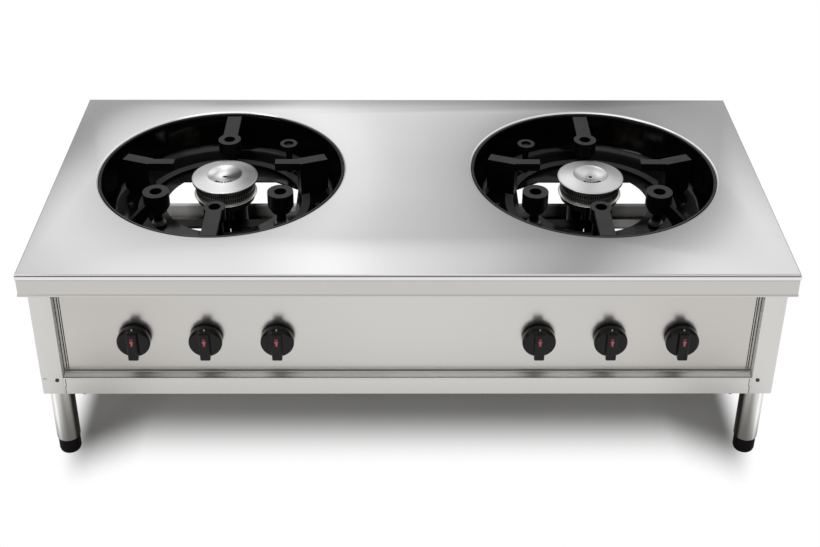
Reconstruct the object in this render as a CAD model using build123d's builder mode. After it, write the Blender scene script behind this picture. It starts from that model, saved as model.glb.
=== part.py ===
from build123d import *
from math import cos, radians, sin
import os

os.makedirs("parts", exist_ok=True)

# Overall size: X along the front, Y to the back, Z up, origin on the floor
width = 1500
depth = 720
height = 490

# Clearances
running_gap = 0.05
sheet_gap = 0.3

# Worktop: one folded sheet
top_sheet = 2
bend_height = 3.5
bend_radius = 3
bend_inset = 1
groove_height = 1.5
groove_inset = 2.5
bead_height = 8
line_height = 1
apron_height = 34
apron_inset = 1.5
hem_height = 4
hem_inset = 0.5
top_corner = 1.5
top_underside = height - top_sheet

# Wells
well_x = 399
well_y = 33
opening_radius = 265
lip_sheet = 2
lip_round = 1.6
lip_height = 7
lip_bottom = height - lip_height

# Body frame
body_bottom = 177.5
frame_sheet = 2
panel_sheet = 1.5
post_overhang = 10.6
post_setback = 27.8
post_x = width / 2 - post_overhang
post_y = depth / 2 - post_setback
post_leg = 44
post_return = 26
post_corner = 3
rail_height = 40
rail_top = body_bottom + rail_height
rail_depth = 18
rail_upstand = 4
rail_tab = 30
tab_height = 30
panel_setback = 18
panel_fold = 15
panel_inside = panel_setback + panel_sheet - post_y
rivet_inset = 32.4
rivet_x = post_x - rivet_inset
rivet_z = 212
rivet_radius = 2
rivet_head = 4
rivet_head_height = 1.2

# Legs and feet
leg_inset_x = 26.9
leg_inset_y = 39.2
leg_x = post_x - leg_inset_x
leg_y = post_y - leg_inset_y
leg_radius = 24.15
leg_wall = 1.5
leg_bottom = 36
leg_rim = 3
plate_size = 92
plate_sheet = 4
plate_bottom = body_bottom + panel_sheet
insert_bottom = 50
insert_height = 20
foot_radius = 22.5
foot_rib = 1.2
foot_rib_height = 4
foot_round = 5
screw_radius = 8
screw_top = 96
flange_start = 72

# Bowls and what carries them
bowl_wall = 4
bowl_flange_radius = 290
bowl_flange = 3
bowl_top_radius = 258
bowl_foot_radius = 246
bowl_floor_z = 402
bowl_corner = 20
bowl_hole_radius = 130
hole_y = 18
hole_back = 98
notch_shoulder = 104
notch_reach = 156
notch_corner = 66
notch_front = -30
bearer_leg = 30
bearer_sheet = 3
bearer_reach = 295
bearer_top = lip_bottom - bowl_flange
strap_width = 30
strap_y = -4
strap_sheet = 5
strap_top = 356
strap_rise = 168
strap_reach = 218
strap_bolt = 203

# Burners, a little nearer the middle of the range than their wells
burner_x = 394
burner_y = 30
ring_bottom = 436
ring_flange = 4
ring_flange_radius = 67
ring_radius = 63
ring_inner = 56
ring_top = 465
port_count = 24
port_width = 3
port_height = 14
cap_radius = 71
cap_top = 477
cap_relief = 1.5
cap_seat_radius = 60
cap_spigot = 6
cap_round = 2
cap_dish_radius = 38
cap_dish_floor = 14
cap_dish_z = 463
cap_hole = 3
head_radius = 62
head_root_radius = 40
head_root_z = 408
head_shoulder_z = 424
head_cavity_z = 425
neck_x = 20
neck_y = 36
neck_radius = 20
neck_far_radius = 18.5
tube_radius = 18.5
tube_z = 306
tube_bore = 14
tube_bore_depth = 60
tube_mouth_inset = 127.7
tube_mouth_y = panel_inside + tube_mouth_inset
boss_x = -16
boss_radius = 9
lug_width = 18
lug_sheet = 6
pilot_y = 82
pilot_radius = 6
pilot_bottom = 398
pilot_top = 456
mouth_plate = 4
mouth_width = 92
mouth_height = 48
guide_sheet = 2
guide_lip = 4
shutter_sheet = 2
shutter_tab = 10

# Gas line
pipe_radius = 13.45
thread_radius = 13.2
thread_length = 20
pipe_bore = 10.5
pipe_inset = 27.7
pipe_y = panel_inside + pipe_inset
pipe_z = 262
pipe_start_inset = 99.4
pipe_end_inset = 79.4
pipe_back_inset = 8
pipe_start_x = pipe_start_inset - post_x
pipe_end_x = post_x - pipe_end_inset
pipe_end_y = depth / 2 - pipe_back_inset
pipe_bend = 45
boss_outer = 12
inlet_radius = 8
inlet_top = 285
bracket_x = 150
bracket_far_x = 600
bracket_width = 30
bracket_sheet = 3
valve_z = 306
valve_front = panel_inside
valve_length = 50.7
valve_back = valve_front + valve_length
valve_radius = 15
outlet_length = 8
outlet_end = valve_back + outlet_length
outlet_radius = 8
feed_radius = 5
feed_depth = 8
feed_bend = 8
feed_run = 15
feed_cross_y = outlet_end + feed_run
pilot_pipe = 3.5
pilot_bend = 14
injector_length = 22
injector_front = feed_cross_y + feed_run
injector_back = injector_front + injector_length
injector_radius = 8
nose_radius = 4
nose_length = 6
nose_end = injector_back + nose_length

# Knobs, spindles and plugs
knob_pitch = 142.5
knob_first_x = 260
knob_radius = 33.5
knob_gap = 5
knob_back = -post_y + panel_setback - knob_gap
skirt_height = 17
skirt_round = 6
grip_width = 21
grip_height = 12
grip_round = 3
knob_recess = 12
knob_recess_depth = 5
spindle_radius = 4
spindle_depth = 23
push_travel = 4
plug_inset = 16.7
plug_length = 22
plug_front = valve_front + plug_inset
plug_back = plug_front + plug_length
plug_front_radius = 9
plug_back_radius = 7
plug_socket = 16
plug_port = 3

# Pan supports
rest_top = 485
base_inner = 168
base_outer = 186
base_height = 6
base_lug = 17
arm_inner = 142
arm_outer = 250
arm_width = 32
arm_height = 8
arm_web = 12
arm_web_outer = 222
arm_tip_z = 455
boss_hole = 12.5
boss_depth = 30
back_boss_radius = 25
front_boss_radius = 22.5
boss_stem = 15
fin_angle = 20
fin_x = 161
fin_y = 43.5
fin_length = 62
fin_width = 26
fin_foot = 50
fin_heel = 12
fin_neck_x = 110
fin_neck = 20
fin_neck_height = 18
cup_angle = 32
cup_radius = 27.5
cup_orbit = 154
cup_shoulder_z = 452
cup_waist = 20
cup_waist_z = 438
cup_stem = 10
cup_stem_z = 430
cup_hole = 13
cup_hole_z = 462
rib_width = 10
rib_outer = 216
rib_high_z = 466
rib_low_z = 436
small_angle = 45
small_orbit = 188
small_radius = 19
small_height = 10
small_stem = 7
small_top = 480
small_hole = 11
small_hole_depth = 7
lug_half = 10
stud_radius = 5
stud_top = 466
nut_radius = 11
nut_height = 7
washer_radius = 14
washer_height = 2
support_floor = bowl_floor_z + base_height

# Bolts
bolt_radius = 3
bolt_head_radius = 5.5
bolt_head_height = 4
bolt_nut_height = 5
flange_bolt_x = 40
flange_bolt_y = 280

sides = (("left", -1), ("right", 1))
ends = (("front", -1), ("rear", 1))
knob_xs = [-knob_first_x - step * knob_pitch for step in (2, 1, 0)]
knob_xs += [knob_first_x + step * knob_pitch for step in (0, 1, 2)]


def outward(sign, angle):
    turn = radians(angle)
    return (-sign * cos(turn), sin(turn), 0)


# A place in a well: X toward the middle of the range, Y to the back
def in_well(sign, x, y):
    return (sign * (well_x - x), well_y + y)


# Flat plane through the middle of a well, its X pointing outward at the angle
def radial_plan(sign, angle, z):
    return Plane((*in_well(sign, 0, 0), z), x_dir=outward(sign, angle), z_dir=(0, 0, 1))


# Upright plane through a place, its X pointing outward at the angle and its Y up
def radial_side(sign, angle, place):
    out = outward(sign, angle)
    return Plane((*place, 0), x_dir=out, z_dir=(out[1], -out[0], 0))


# Plane that faces the user at the front
def facing(x, y, z):
    return Plane((x, y, z), x_dir=(1, 0, 0), z_dir=(0, -1, 0))


def disc(x, y, bottom, top, radius):
    with BuildPart() as piece:
        with BuildSketch(Plane((x, y, bottom))):
            Circle(radius)
        extrude(amount=top - bottom)
    return piece.part


# Round bar along Y
def rod(x, z, front, back, radius):
    with BuildPart() as piece:
        with BuildSketch(facing(x, back, z)):
            Circle(radius)
        extrude(amount=back - front)
    return piece.part


def block(x_range, y_range, z_range):
    with BuildPart() as piece:
        with BuildSketch(Plane((sum(x_range) / 2, sum(y_range) / 2, min(z_range)))):
            Rectangle(abs(x_range[1] - x_range[0]), abs(y_range[1] - y_range[0]))
        extrude(amount=abs(z_range[1] - z_range[0]))
    return piece.part


# Outline turned about the upright axis of its plane
def turned(plane, outline):
    with BuildPart() as piece:
        with BuildSketch(plane):
            with BuildLine():
                Polyline(*outline, close=True)
            make_face()
        revolve(axis=Axis(plane.origin, plane.y_dir))
    return piece.part


def slab(plane, outline, thickness):
    with BuildPart() as piece:
        with BuildSketch(plane):
            with BuildLine():
                Polyline(*outline, close=True)
            make_face()
        extrude(amount=thickness / 2, both=True)
    return piece.part


def pipe(points, bend, radius):
    with BuildPart() as piece:
        with BuildLine() as path:
            FilletPolyline(*points, radius=bend)
        with BuildSketch(Plane(origin=path.line @ 0, z_dir=path.line % 0)):
            Circle(radius)
        sweep()
    return piece.part


def bolt_holes(places, bottom, top):
    with BuildPart() as piece:
        with BuildSketch(Plane.XY.offset(bottom)):
            with Locations(*places):
                Circle(bolt_radius + running_gap)
        extrude(amount=top - bottom)
    return piece.part


# Bolt and nut: the head on its seat, the nut under the lower face
def bolt(x, y, seat, under):
    with BuildPart() as piece:
        with BuildSketch(Plane((x, y, seat))):
            RegularPolygon(bolt_head_radius, 6)
        extrude(amount=bolt_head_height)
        with BuildSketch(Plane((x, y, under - bolt_nut_height))):
            RegularPolygon(bolt_head_radius, 6)
        extrude(amount=bolt_nut_height)
        with BuildSketch(Plane((x, y, under - bolt_nut_height - 2))):
            Circle(bolt_radius)
        extrude(amount=seat - under + bolt_nut_height + 2)
    return piece.part


strap_bolts = [
    (sign * well_x + end * strap_bolt, well_y + strap_y)
    for name, sign in sides for end in (-1, 1)
]
boss_bolts = [(sign * (burner_x - boss_x), well_y + strap_y) for name, sign in sides]
flange_bolts = [
    (sign * well_x + x * flange_bolt_x, well_y + y * flange_bolt_y)
    for name, sign in sides for x in (-1, 1) for y in (-1, 1)
]
rail_bolt_x = post_x - flange_start - 10
rail_bolt_y = post_y - rail_depth / 2
side_bolt_x = post_x - rail_depth / 2
side_bolt_y = post_y - flange_start - 10
rail_bolts = [(x * rail_bolt_x, y * rail_bolt_y) for x in (-1, 1) for y in (-1, 1)]
side_bolts = [(x * side_bolt_x, y * side_bolt_y) for x in (-1, 1) for y in (-1, 1)]
bracket_bolts = [
    (x * reach, -rail_bolt_y) for x in (-1, 1) for reach in (bracket_x, bracket_far_x)
]

# Worktop
with BuildPart() as worktop:
    band_top = height
    for band, inset in (
        (bend_height, bend_inset),
        (groove_height, groove_inset),
        (bead_height, 0),
        (line_height, groove_inset),
        (apron_height, apron_inset),
        (hem_height, hem_inset),
    ):
        band_top -= band
        with BuildSketch(Plane.XY.offset(band_top)):
            RectangleRounded(width - 2 * inset, depth - 2 * inset, top_corner)
        extrude(amount=band)
    fillet(worktop.faces().sort_by(Axis.Z)[-1].edges(), bend_radius)
    skin = 2 * (apron_inset + top_sheet)
    with BuildSketch(Plane.XY.offset(band_top)):
        Rectangle(width - skin, depth - skin)
    extrude(amount=top_underside - band_top, mode=Mode.SUBTRACT)
    with BuildSketch(Plane.XY.offset(lip_bottom)):
        with Locations((-well_x, well_y), (well_x, well_y)):
            Circle(opening_radius + lip_sheet)
    extrude(amount=lip_height)
    with BuildSketch(Plane.XY.offset(lip_bottom)):
        with Locations((-well_x, well_y), (well_x, well_y)):
            Circle(opening_radius)
    extrude(amount=lip_height, mode=Mode.SUBTRACT)
    rims = worktop.edges().filter_by(GeomType.CIRCLE).filter_by(lambda e: e.radius == opening_radius)
    fillet(rims.group_by(Axis.Z)[-1], lip_round)
worktop.part.label = "worktop"
export_step(worktop.part, "parts/worktop.step")

# Corner posts: an angle of sheet, with a return along both inner edges above the rails
angle_section = (
    (0, 0),
    (post_leg, 0),
    (post_leg, frame_sheet),
    (frame_sheet, frame_sheet),
    (frame_sheet, post_leg),
    (0, post_leg),
)
return_section = (
    (0, 0),
    (post_leg, 0),
    (post_leg, post_return),
    (post_leg - frame_sheet, post_return),
    (post_leg - frame_sheet, frame_sheet),
    (frame_sheet, frame_sheet),
    (frame_sheet, post_leg - frame_sheet),
    (post_return, post_leg - frame_sheet),
    (post_return, post_leg),
    (0, post_leg),
)
for end, y_sign in ends:
    for side, x_sign in sides:
        with BuildPart() as post:
            for section, bottom, top in (
                (angle_section, body_bottom, rail_top),
                (return_section, rail_top, top_underside),
            ):
                with BuildSketch(Plane.XY.offset(bottom)):
                    with BuildLine():
                        Polyline(
                            *[(x_sign * (post_x - u), y_sign * (post_y - v)) for u, v in section],
                            close=True,
                        )
                    make_face()
                extrude(amount=top - bottom)
            corner = post.edges().filter_by(Axis.Z).filter_by(
                lambda e: abs(abs(e.center().X) - post_x) + abs(abs(e.center().Y) - post_y) < bend_inset
            )
            fillet(corner, post_corner)
            add(
                rod(x_sign * rivet_x, rivet_z, *sorted((y_sign * post_y, y_sign * (post_y - rail_depth))),
                    rivet_radius + running_gap),
                mode=Mode.SUBTRACT,
            )
        post.part.label = f"{end}_{side}_post"
        export_step(post.part, f"parts/{end}_{side}_post.step")

# Bottom rails: a channel with a ledge and a small upstand, and a tab behind each post
rail_end = post_x - post_leg - sheet_gap
for end, y_sign in ends:
    with BuildPart() as rail:
        with BuildSketch(Plane.YZ.offset(-rail_end)):
            with BuildLine():
                Polyline(
                    *[
                        (y_sign * y, z)
                        for y, z in (
                            (post_y - rail_depth, body_bottom),
                            (post_y, body_bottom),
                            (post_y, rail_top),
                            (post_y - rail_depth + panel_sheet, rail_top),
                            (post_y - rail_depth + panel_sheet, rail_top + rail_upstand),
                            (post_y - rail_depth, rail_top + rail_upstand),
                            (post_y - rail_depth, rail_top - panel_sheet),
                            (post_y - panel_sheet, rail_top - panel_sheet),
                            (post_y - panel_sheet, body_bottom + panel_sheet),
                            (post_y - rail_depth, body_bottom + panel_sheet),
                        )
                    ],
                    close=True,
                )
            make_face()
        extrude(amount=2 * rail_end)
        for x_sign in (-1, 1):
            tab_y = y_sign * (post_y - frame_sheet)
            tab = (tab_y, tab_y - y_sign * panel_sheet)
            tab_z = (rail_top - panel_sheet - tab_height, rail_top - panel_sheet)
            add(block((x_sign * (rail_end - frame_sheet), x_sign * (rail_end + rail_tab)), tab, tab_z))
            add(
                block(
                    (x_sign * (rail_end - 2 * frame_sheet), x_sign * rail_end),
                    (y_sign * (post_y - panel_sheet), tab[1]),
                    tab_z,
                )
            )
            add(
                rod(x_sign * rivet_x, rivet_z, *sorted((y_sign * post_y, y_sign * (post_y - rail_depth))),
                    rivet_radius + running_gap),
                mode=Mode.SUBTRACT,
            )
            cut = (x_sign * (post_x - flange_start), x_sign * post_x)
            add(
                block(cut, (y_sign * (post_y - frame_sheet), y_sign * (post_y - rail_depth)),
                      (body_bottom, plate_bottom)),
                mode=Mode.SUBTRACT,
            )
        places = rail_bolts + bracket_bolts if y_sign < 0 else rail_bolts
        add(bolt_holes(places, body_bottom, plate_bottom), mode=Mode.SUBTRACT)
    rail.part.label = f"{end}_rail"
    export_step(rail.part, f"parts/{end}_rail.step")

# Front panel: a pan of sheet between the posts, behind the ledge, with six spindle holes
panel_end = post_x - post_leg - sheet_gap
panel_y = -post_y + panel_setback
with BuildPart() as front_panel:
    add(block((-panel_end, panel_end), (panel_y, panel_y + panel_fold), (rail_top, top_underside)))
    add(
        block(
            (-panel_end + panel_sheet, panel_end - panel_sheet),
            (panel_y + panel_sheet, panel_y + panel_fold),
            (rail_top + panel_sheet, top_underside - panel_sheet),
        ),
        mode=Mode.SUBTRACT,
    )
    with BuildSketch(facing(0, panel_y + panel_sheet, valve_z)):
        with Locations(*[(x, 0) for x in knob_xs]):
            Circle(spindle_radius + sheet_gap)
    extrude(amount=panel_sheet, mode=Mode.SUBTRACT)
front_panel.part.label = "front_panel"
export_step(front_panel.part, "parts/front_panel.step")

# Side panels: set back above, stepped out to the post face below, folded in at the bottom
panel_x = post_x - panel_setback
side_end = post_y - post_leg - sheet_gap
for side, x_sign in sides:
    with BuildPart() as side_panel:
        with BuildSketch(Plane.XZ.offset(-side_end)):
            with BuildLine():
                Polyline(
                    *[
                        (x_sign * x, z)
                        for x, z in (
                            (panel_x - panel_fold, top_underside),
                            (panel_x, top_underside),
                            (panel_x, rail_top),
                            (post_x, rail_top),
                            (post_x, body_bottom),
                            (post_x - rail_depth, body_bottom),
                            (post_x - rail_depth, body_bottom + panel_sheet),
                            (post_x - panel_sheet, body_bottom + panel_sheet),
                            (post_x - panel_sheet, rail_top - panel_sheet),
                            (panel_x - panel_sheet, rail_top - panel_sheet),
                            (panel_x - panel_sheet, top_underside - panel_sheet),
                            (panel_x - panel_fold, top_underside - panel_sheet),
                        )
                    ],
                    close=True,
                )
            make_face()
        extrude(amount=2 * side_end)
        for y_sign in (-1, 1):
            add(
                block(
                    (x_sign * (post_x - frame_sheet), x_sign * (post_x - rail_depth)),
                    (y_sign * (post_y - flange_start), y_sign * post_y),
                    (body_bottom, plate_bottom),
                ),
                mode=Mode.SUBTRACT,
            )
        add(bolt_holes(side_bolts, body_bottom, plate_bottom), mode=Mode.SUBTRACT)
    side_panel.part.label = f"{side}_side_panel"
    export_step(side_panel.part, f"parts/{side}_side_panel.step")

# Leg tubes: a rolled-in lower rim, a threaded insert and a plate on the rail flanges
plate_outer_x = post_x - frame_sheet - sheet_gap
plate_outer_y = post_y - frame_sheet - panel_sheet - sheet_gap
for end, y_sign in ends:
    with BuildPart() as leg_tubes:
        for x_sign in (-1, 1):
            centre = (x_sign * leg_x, y_sign * leg_y)
            add(disc(*centre, leg_bottom, plate_bottom, leg_radius))
            add(disc(*centre, leg_bottom + leg_rim, plate_bottom, leg_radius - leg_wall), mode=Mode.SUBTRACT)
            add(disc(*centre, leg_bottom, leg_bottom + leg_rim, leg_radius - leg_rim), mode=Mode.SUBTRACT)
            add(disc(*centre, insert_bottom, insert_bottom + insert_height, leg_radius - leg_wall))
            add(
                disc(*centre, insert_bottom, insert_bottom + insert_height, screw_radius + running_gap),
                mode=Mode.SUBTRACT,
            )
            add(
                block(
                    (x_sign * plate_outer_x, x_sign * (plate_outer_x - plate_size)),
                    (y_sign * plate_outer_y, y_sign * (plate_outer_y - plate_size)),
                    (plate_bottom, plate_bottom + plate_sheet),
                )
            )
        lower = leg_tubes.edges().filter_by(GeomType.CIRCLE).group_by(Axis.Z)[0]
        fillet(lower.filter_by(lambda e: e.radius == leg_radius), leg_rim * 0.8)
        places = [p for p in rail_bolts + side_bolts if p[1] * y_sign > 0]
        add(bolt_holes(places, plate_bottom, plate_bottom + plate_sheet), mode=Mode.SUBTRACT)
    leg_tubes.part.label = f"{end}_leg_tubes"
    export_step(leg_tubes.part, f"parts/{end}_leg_tubes.step")

# Feet: a ribbed bullet foot on a screw that turns in the leg insert
for end, y_sign in ends:
    for side, x_sign in sides:
        centre = (x_sign * leg_x, y_sign * leg_y)
        with BuildPart() as foot:
            add(disc(*centre, 0, leg_bottom, foot_radius - foot_rib))
            add(disc(*centre, 0, 2 * foot_rib_height, foot_radius))
            for step in (3, 5, 7):
                rib_bottom = step * foot_rib_height
                add(disc(*centre, rib_bottom, rib_bottom + foot_rib_height, foot_radius))
            fillet(foot.faces().sort_by(Axis.Z)[0].edges(), foot_round)
            add(disc(*centre, leg_bottom, screw_top, screw_radius))
        foot.part.label = f"{end}_{side}_foot"
        export_step(foot.part, f"parts/{end}_{side}_foot.step")

# Bowls: a flange under the worktop lip, a steep wall, and a flat floor with a hole for the burner.
# The hole has a straight back edge and a notch toward the middle of the range.
for side, sign in sides:
    with BuildPart() as bowl:
        with BuildSketch(radial_side(sign, 0, in_well(sign, 0, 0))) as profile:
            with BuildLine():
                Polyline(
                    (bowl_flange_radius, bearer_top),
                    (bowl_flange_radius, lip_bottom),
                    (bowl_top_radius, lip_bottom),
                    (bowl_foot_radius, bowl_floor_z),
                    (0, bowl_floor_z),
                    (0, bowl_floor_z - bowl_wall),
                    (bowl_foot_radius + bowl_wall, bowl_floor_z - bowl_wall),
                    (bowl_top_radius + bowl_wall, bearer_top),
                    close=True,
                )
            make_face()
            for corner, bend in (
                ((bowl_foot_radius, bowl_floor_z), bowl_corner),
                ((bowl_foot_radius + bowl_wall, bowl_floor_z - bowl_wall), bowl_corner + bowl_wall),
                ((bowl_top_radius, lip_bottom), lip_round),
            ):
                fillet(profile.vertices().sort_by_distance(corner)[0], bend)
        revolve(axis=Axis((*in_well(sign, 0, 0), 0), (0, 0, 1)))
        with BuildSketch(Plane.XY.offset(bowl_floor_z - bowl_wall)):
            with Locations(in_well(sign, 0, hole_y)):
                Circle(bowl_hole_radius)
            with Locations(in_well(sign, 0, hole_back + bowl_hole_radius / 2)):
                Rectangle(2 * bowl_hole_radius, bowl_hole_radius, mode=Mode.SUBTRACT)
            with BuildLine():
                Polyline(
                    in_well(sign, 0, hole_back),
                    in_well(sign, notch_shoulder, hole_back),
                    in_well(sign, notch_reach, notch_corner),
                    in_well(sign, notch_reach, notch_front),
                    in_well(sign, 0, notch_front),
                    close=True,
                )
            make_face()
        extrude(amount=bowl_wall, mode=Mode.SUBTRACT)
        add(bolt_holes(strap_bolts, bowl_floor_z - bowl_wall, bowl_floor_z), mode=Mode.SUBTRACT)
        add(bolt_holes(flange_bolts, bearer_top, lip_bottom), mode=Mode.SUBTRACT)
    bowl.part.label = f"{side}_bowl"
    export_step(bowl.part, f"parts/{side}_bowl.step")

# Bowl bearers: the front angle bar reaches the side panels, the rear one the rear posts
with BuildPart() as bowl_bearers:
    for y_sign, bearer_end in ((-1, panel_x - panel_sheet), (1, rail_end)):
        face = well_y + y_sign * bearer_reach
        with BuildSketch(Plane.YZ.offset(-bearer_end)):
            with BuildLine():
                Polyline(
                    (face, bearer_top - bearer_leg),
                    (face, bearer_top),
                    (face - y_sign * bearer_leg, bearer_top),
                    (face - y_sign * bearer_leg, bearer_top - bearer_sheet),
                    (face - y_sign * bearer_sheet, bearer_top - bearer_sheet),
                    (face - y_sign * bearer_sheet, bearer_top - bearer_leg),
                    close=True,
                )
            make_face()
        extrude(amount=2 * bearer_end)
    add(bolt_holes(flange_bolts, bearer_top - bearer_sheet, bearer_top), mode=Mode.SUBTRACT)
bowl_bearers.part.label = "bowl_bearers"
export_step(bowl_bearers.part, "parts/bowl_bearers.step")

# Burner straps: a flat bar under the burner with both ends turned up to the bowl floor
for side, sign in sides:
    under_bowl = bowl_floor_z - bowl_wall
    with BuildPart() as strap:
        with BuildSketch(Plane.XZ.offset(-(well_y + strap_y))):
            with BuildLine():
                Polyline(
                    *[
                        (sign * well_x + x, z)
                        for x, z in (
                            (-strap_reach, under_bowl),
                            (-strap_reach, under_bowl - strap_sheet),
                            (-strap_rise, under_bowl - strap_sheet),
                            (-strap_rise, strap_top - strap_sheet),
                            (strap_rise, strap_top - strap_sheet),
                            (strap_rise, under_bowl - strap_sheet),
                            (strap_reach, under_bowl - strap_sheet),
                            (strap_reach, under_bowl),
                            (strap_rise - strap_sheet, under_bowl),
                            (strap_rise - strap_sheet, strap_top),
                            (strap_sheet - strap_rise, strap_top),
                            (strap_sheet - strap_rise, under_bowl),
                        )
                    ],
                    close=True,
                )
            make_face()
        extrude(amount=strap_width / 2, both=True)
        add(bolt_holes(strap_bolts, under_bowl - strap_sheet, under_bowl), mode=Mode.SUBTRACT)
        add(bolt_holes(boss_bolts, strap_top - strap_sheet, strap_top), mode=Mode.SUBTRACT)
    strap.part.label = f"{side}_burner_strap"
    export_step(strap.part, f"parts/{side}_burner_strap.step")

# Burner bodies: a hollow head, two necks behind the strap and two mixing tubes to the front
neck_centre_y = burner_y + neck_y
for side, sign in sides:
    centre_x = sign * burner_x
    with BuildPart() as burner:
        add(
            turned(
                radial_side(sign, 0, (centre_x, burner_y)),
                (
                    (0, head_root_z),
                    (head_root_radius, head_root_z),
                    (head_radius, head_shoulder_z),
                    (head_radius, ring_bottom),
                    (ring_inner, ring_bottom),
                    (ring_inner, head_cavity_z),
                    (0, head_cavity_z),
                ),
            )
        )
        for x, neck in ((-sign * neck_x, neck_radius), (sign * neck_x, neck_far_radius)):
            add(disc(centre_x + x, neck_centre_y, tube_z, head_cavity_z, neck))
            with Locations((centre_x + x, neck_centre_y, tube_z)):
                Sphere(neck)
            add(rod(centre_x + x, tube_z, tube_mouth_y, neck_centre_y, tube_radius))
        boss_spot = (centre_x - sign * boss_x, well_y + strap_y)
        add(disc(*boss_spot, strap_top, head_cavity_z, boss_radius))
        add(
            block(
                (centre_x - lug_width / 2, centre_x + lug_width / 2),
                (burner_y + head_root_radius, burner_y + pilot_y + lug_width / 2),
                (ring_bottom - lug_sheet, ring_bottom),
            )
        )
        add(
            disc(centre_x, burner_y, head_cavity_z, ring_bottom, ring_inner),
            mode=Mode.SUBTRACT,
        )
        pilot_spot = (centre_x, burner_y + pilot_y)
        add(disc(*pilot_spot, 0, ring_bottom, pilot_radius + running_gap), mode=Mode.SUBTRACT)
        boss_hole_top = strap_top + tube_bore
        add(disc(*boss_spot, strap_top, boss_hole_top, bolt_radius + running_gap), mode=Mode.SUBTRACT)
        add(
            block(
                (centre_x - mouth_width / 2, centre_x + mouth_width / 2),
                (tube_mouth_y - mouth_plate, tube_mouth_y),
                (tube_z - mouth_height / 2, tube_z + mouth_height / 2),
            )
        )
        for z_sign in (-1, 1):
            edge_z = tube_z + z_sign * mouth_height / 2
            hook_y = tube_mouth_y - mouth_plate - shutter_sheet - running_gap
            add(
                block(
                    (centre_x - mouth_width / 2, centre_x + mouth_width / 2),
                    (hook_y - guide_sheet, tube_mouth_y),
                    (edge_z, edge_z + z_sign * guide_sheet),
                )
            )
            add(
                block(
                    (centre_x - mouth_width / 2, centre_x + mouth_width / 2),
                    (hook_y - guide_sheet, hook_y),
                    (edge_z - z_sign * guide_lip, edge_z + z_sign * guide_sheet),
                )
            )
        bore_end = tube_mouth_y + tube_bore_depth
        for x in (-neck_x, neck_x):
            add(
                rod(centre_x + x, tube_z, tube_mouth_y - mouth_plate, bore_end, tube_bore),
                mode=Mode.SUBTRACT,
            )
    burner.part.label = f"{side}_burner_body"
    export_step(burner.part, f"parts/{side}_burner_body.step")

# Air shutters: a plate with two holes that slides across the tube mouths
shutter_front = tube_mouth_y - mouth_plate - shutter_sheet
for side, sign in sides:
    with BuildPart() as shutter:
        with BuildSketch(facing(sign * burner_x, shutter_front + shutter_sheet, tube_z)):
            Rectangle(mouth_width, mouth_height - 2 * running_gap)
            with Locations((-neck_x, 0), (neck_x, 0)):
                Circle(tube_bore, mode=Mode.SUBTRACT)
        extrude(amount=shutter_sheet)
        tab_x = sign * (burner_x - mouth_width / 2)
        add(
            block(
                (tab_x, tab_x + sign * shutter_sheet),
                (shutter_front, shutter_front - shutter_tab),
                (tube_z - shutter_tab, tube_z + shutter_tab),
            )
        )
    shutter.part.label = f"{side}_air_shutter"
    export_step(shutter.part, f"parts/{side}_air_shutter.step")

# Flame rings: a bright flange and a band with upright ports
for side, sign in sides:
    with BuildPart() as flame_ring:
        add(
            turned(
                radial_side(sign, 0, (sign * burner_x, burner_y)),
                (
                    (ring_inner, ring_bottom),
                    (ring_flange_radius, ring_bottom),
                    (ring_flange_radius, ring_bottom + ring_flange),
                    (ring_radius, ring_bottom + ring_flange),
                    (ring_radius, ring_top),
                    (ring_inner, ring_top),
                ),
            )
        )
        with BuildSketch(Plane((sign * burner_x, burner_y, ring_top - port_height - ring_flange))):
            with PolarLocations((ring_inner + ring_radius) / 2, port_count):
                Rectangle(2 * (ring_radius - ring_inner), port_width)
        extrude(amount=port_height, mode=Mode.SUBTRACT)
    flame_ring.part.label = f"{side}_flame_ring"
    export_step(flame_ring.part, f"parts/{side}_flame_ring.step")

# Burner caps: a turned lid with a dished middle and a spigot inside the flame ring
for side, sign in sides:
    spigot = ring_inner - sheet_gap
    with BuildPart() as cap:
        with BuildSketch(radial_side(sign, 0, (sign * burner_x, burner_y))):
            with BuildLine():
                Polyline(
                    (cap_hole, ring_top - cap_spigot),
                    (spigot, ring_top - cap_spigot),
                    (spigot, ring_top),
                    (cap_seat_radius, ring_top),
                    (cap_seat_radius, ring_top + cap_relief),
                    (cap_radius, ring_top + cap_relief),
                    (cap_radius, cap_top),
                    (cap_dish_radius, cap_top),
                    (cap_dish_floor, cap_dish_z),
                    (cap_hole, cap_dish_z),
                    close=True,
                )
            make_face()
        revolve(axis=Axis((sign * burner_x, burner_y, 0), (0, 0, 1)))
        rim = cap.edges().filter_by(GeomType.CIRCLE).filter_by(lambda e: e.radius == cap_radius)
        fillet(rim, cap_round)
    cap.part.label = f"{side}_burner_cap"
    export_step(cap.part, f"parts/{side}_burner_cap.step")

# Pilot burners: an upright jet tube behind each cap
with BuildPart() as pilot_burners:
    for side, sign in sides:
        spot = (sign * burner_x, burner_y + pilot_y)
        socket_top = pilot_bottom + feed_depth
        add(disc(*spot, pilot_bottom, pilot_top, pilot_radius))
        add(disc(*spot, pilot_bottom, socket_top, pilot_pipe + running_gap), mode=Mode.SUBTRACT)
pilot_burners.part.label = "pilot_burners"
export_step(pilot_burners.part, "parts/pilot_burners.step")

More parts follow.
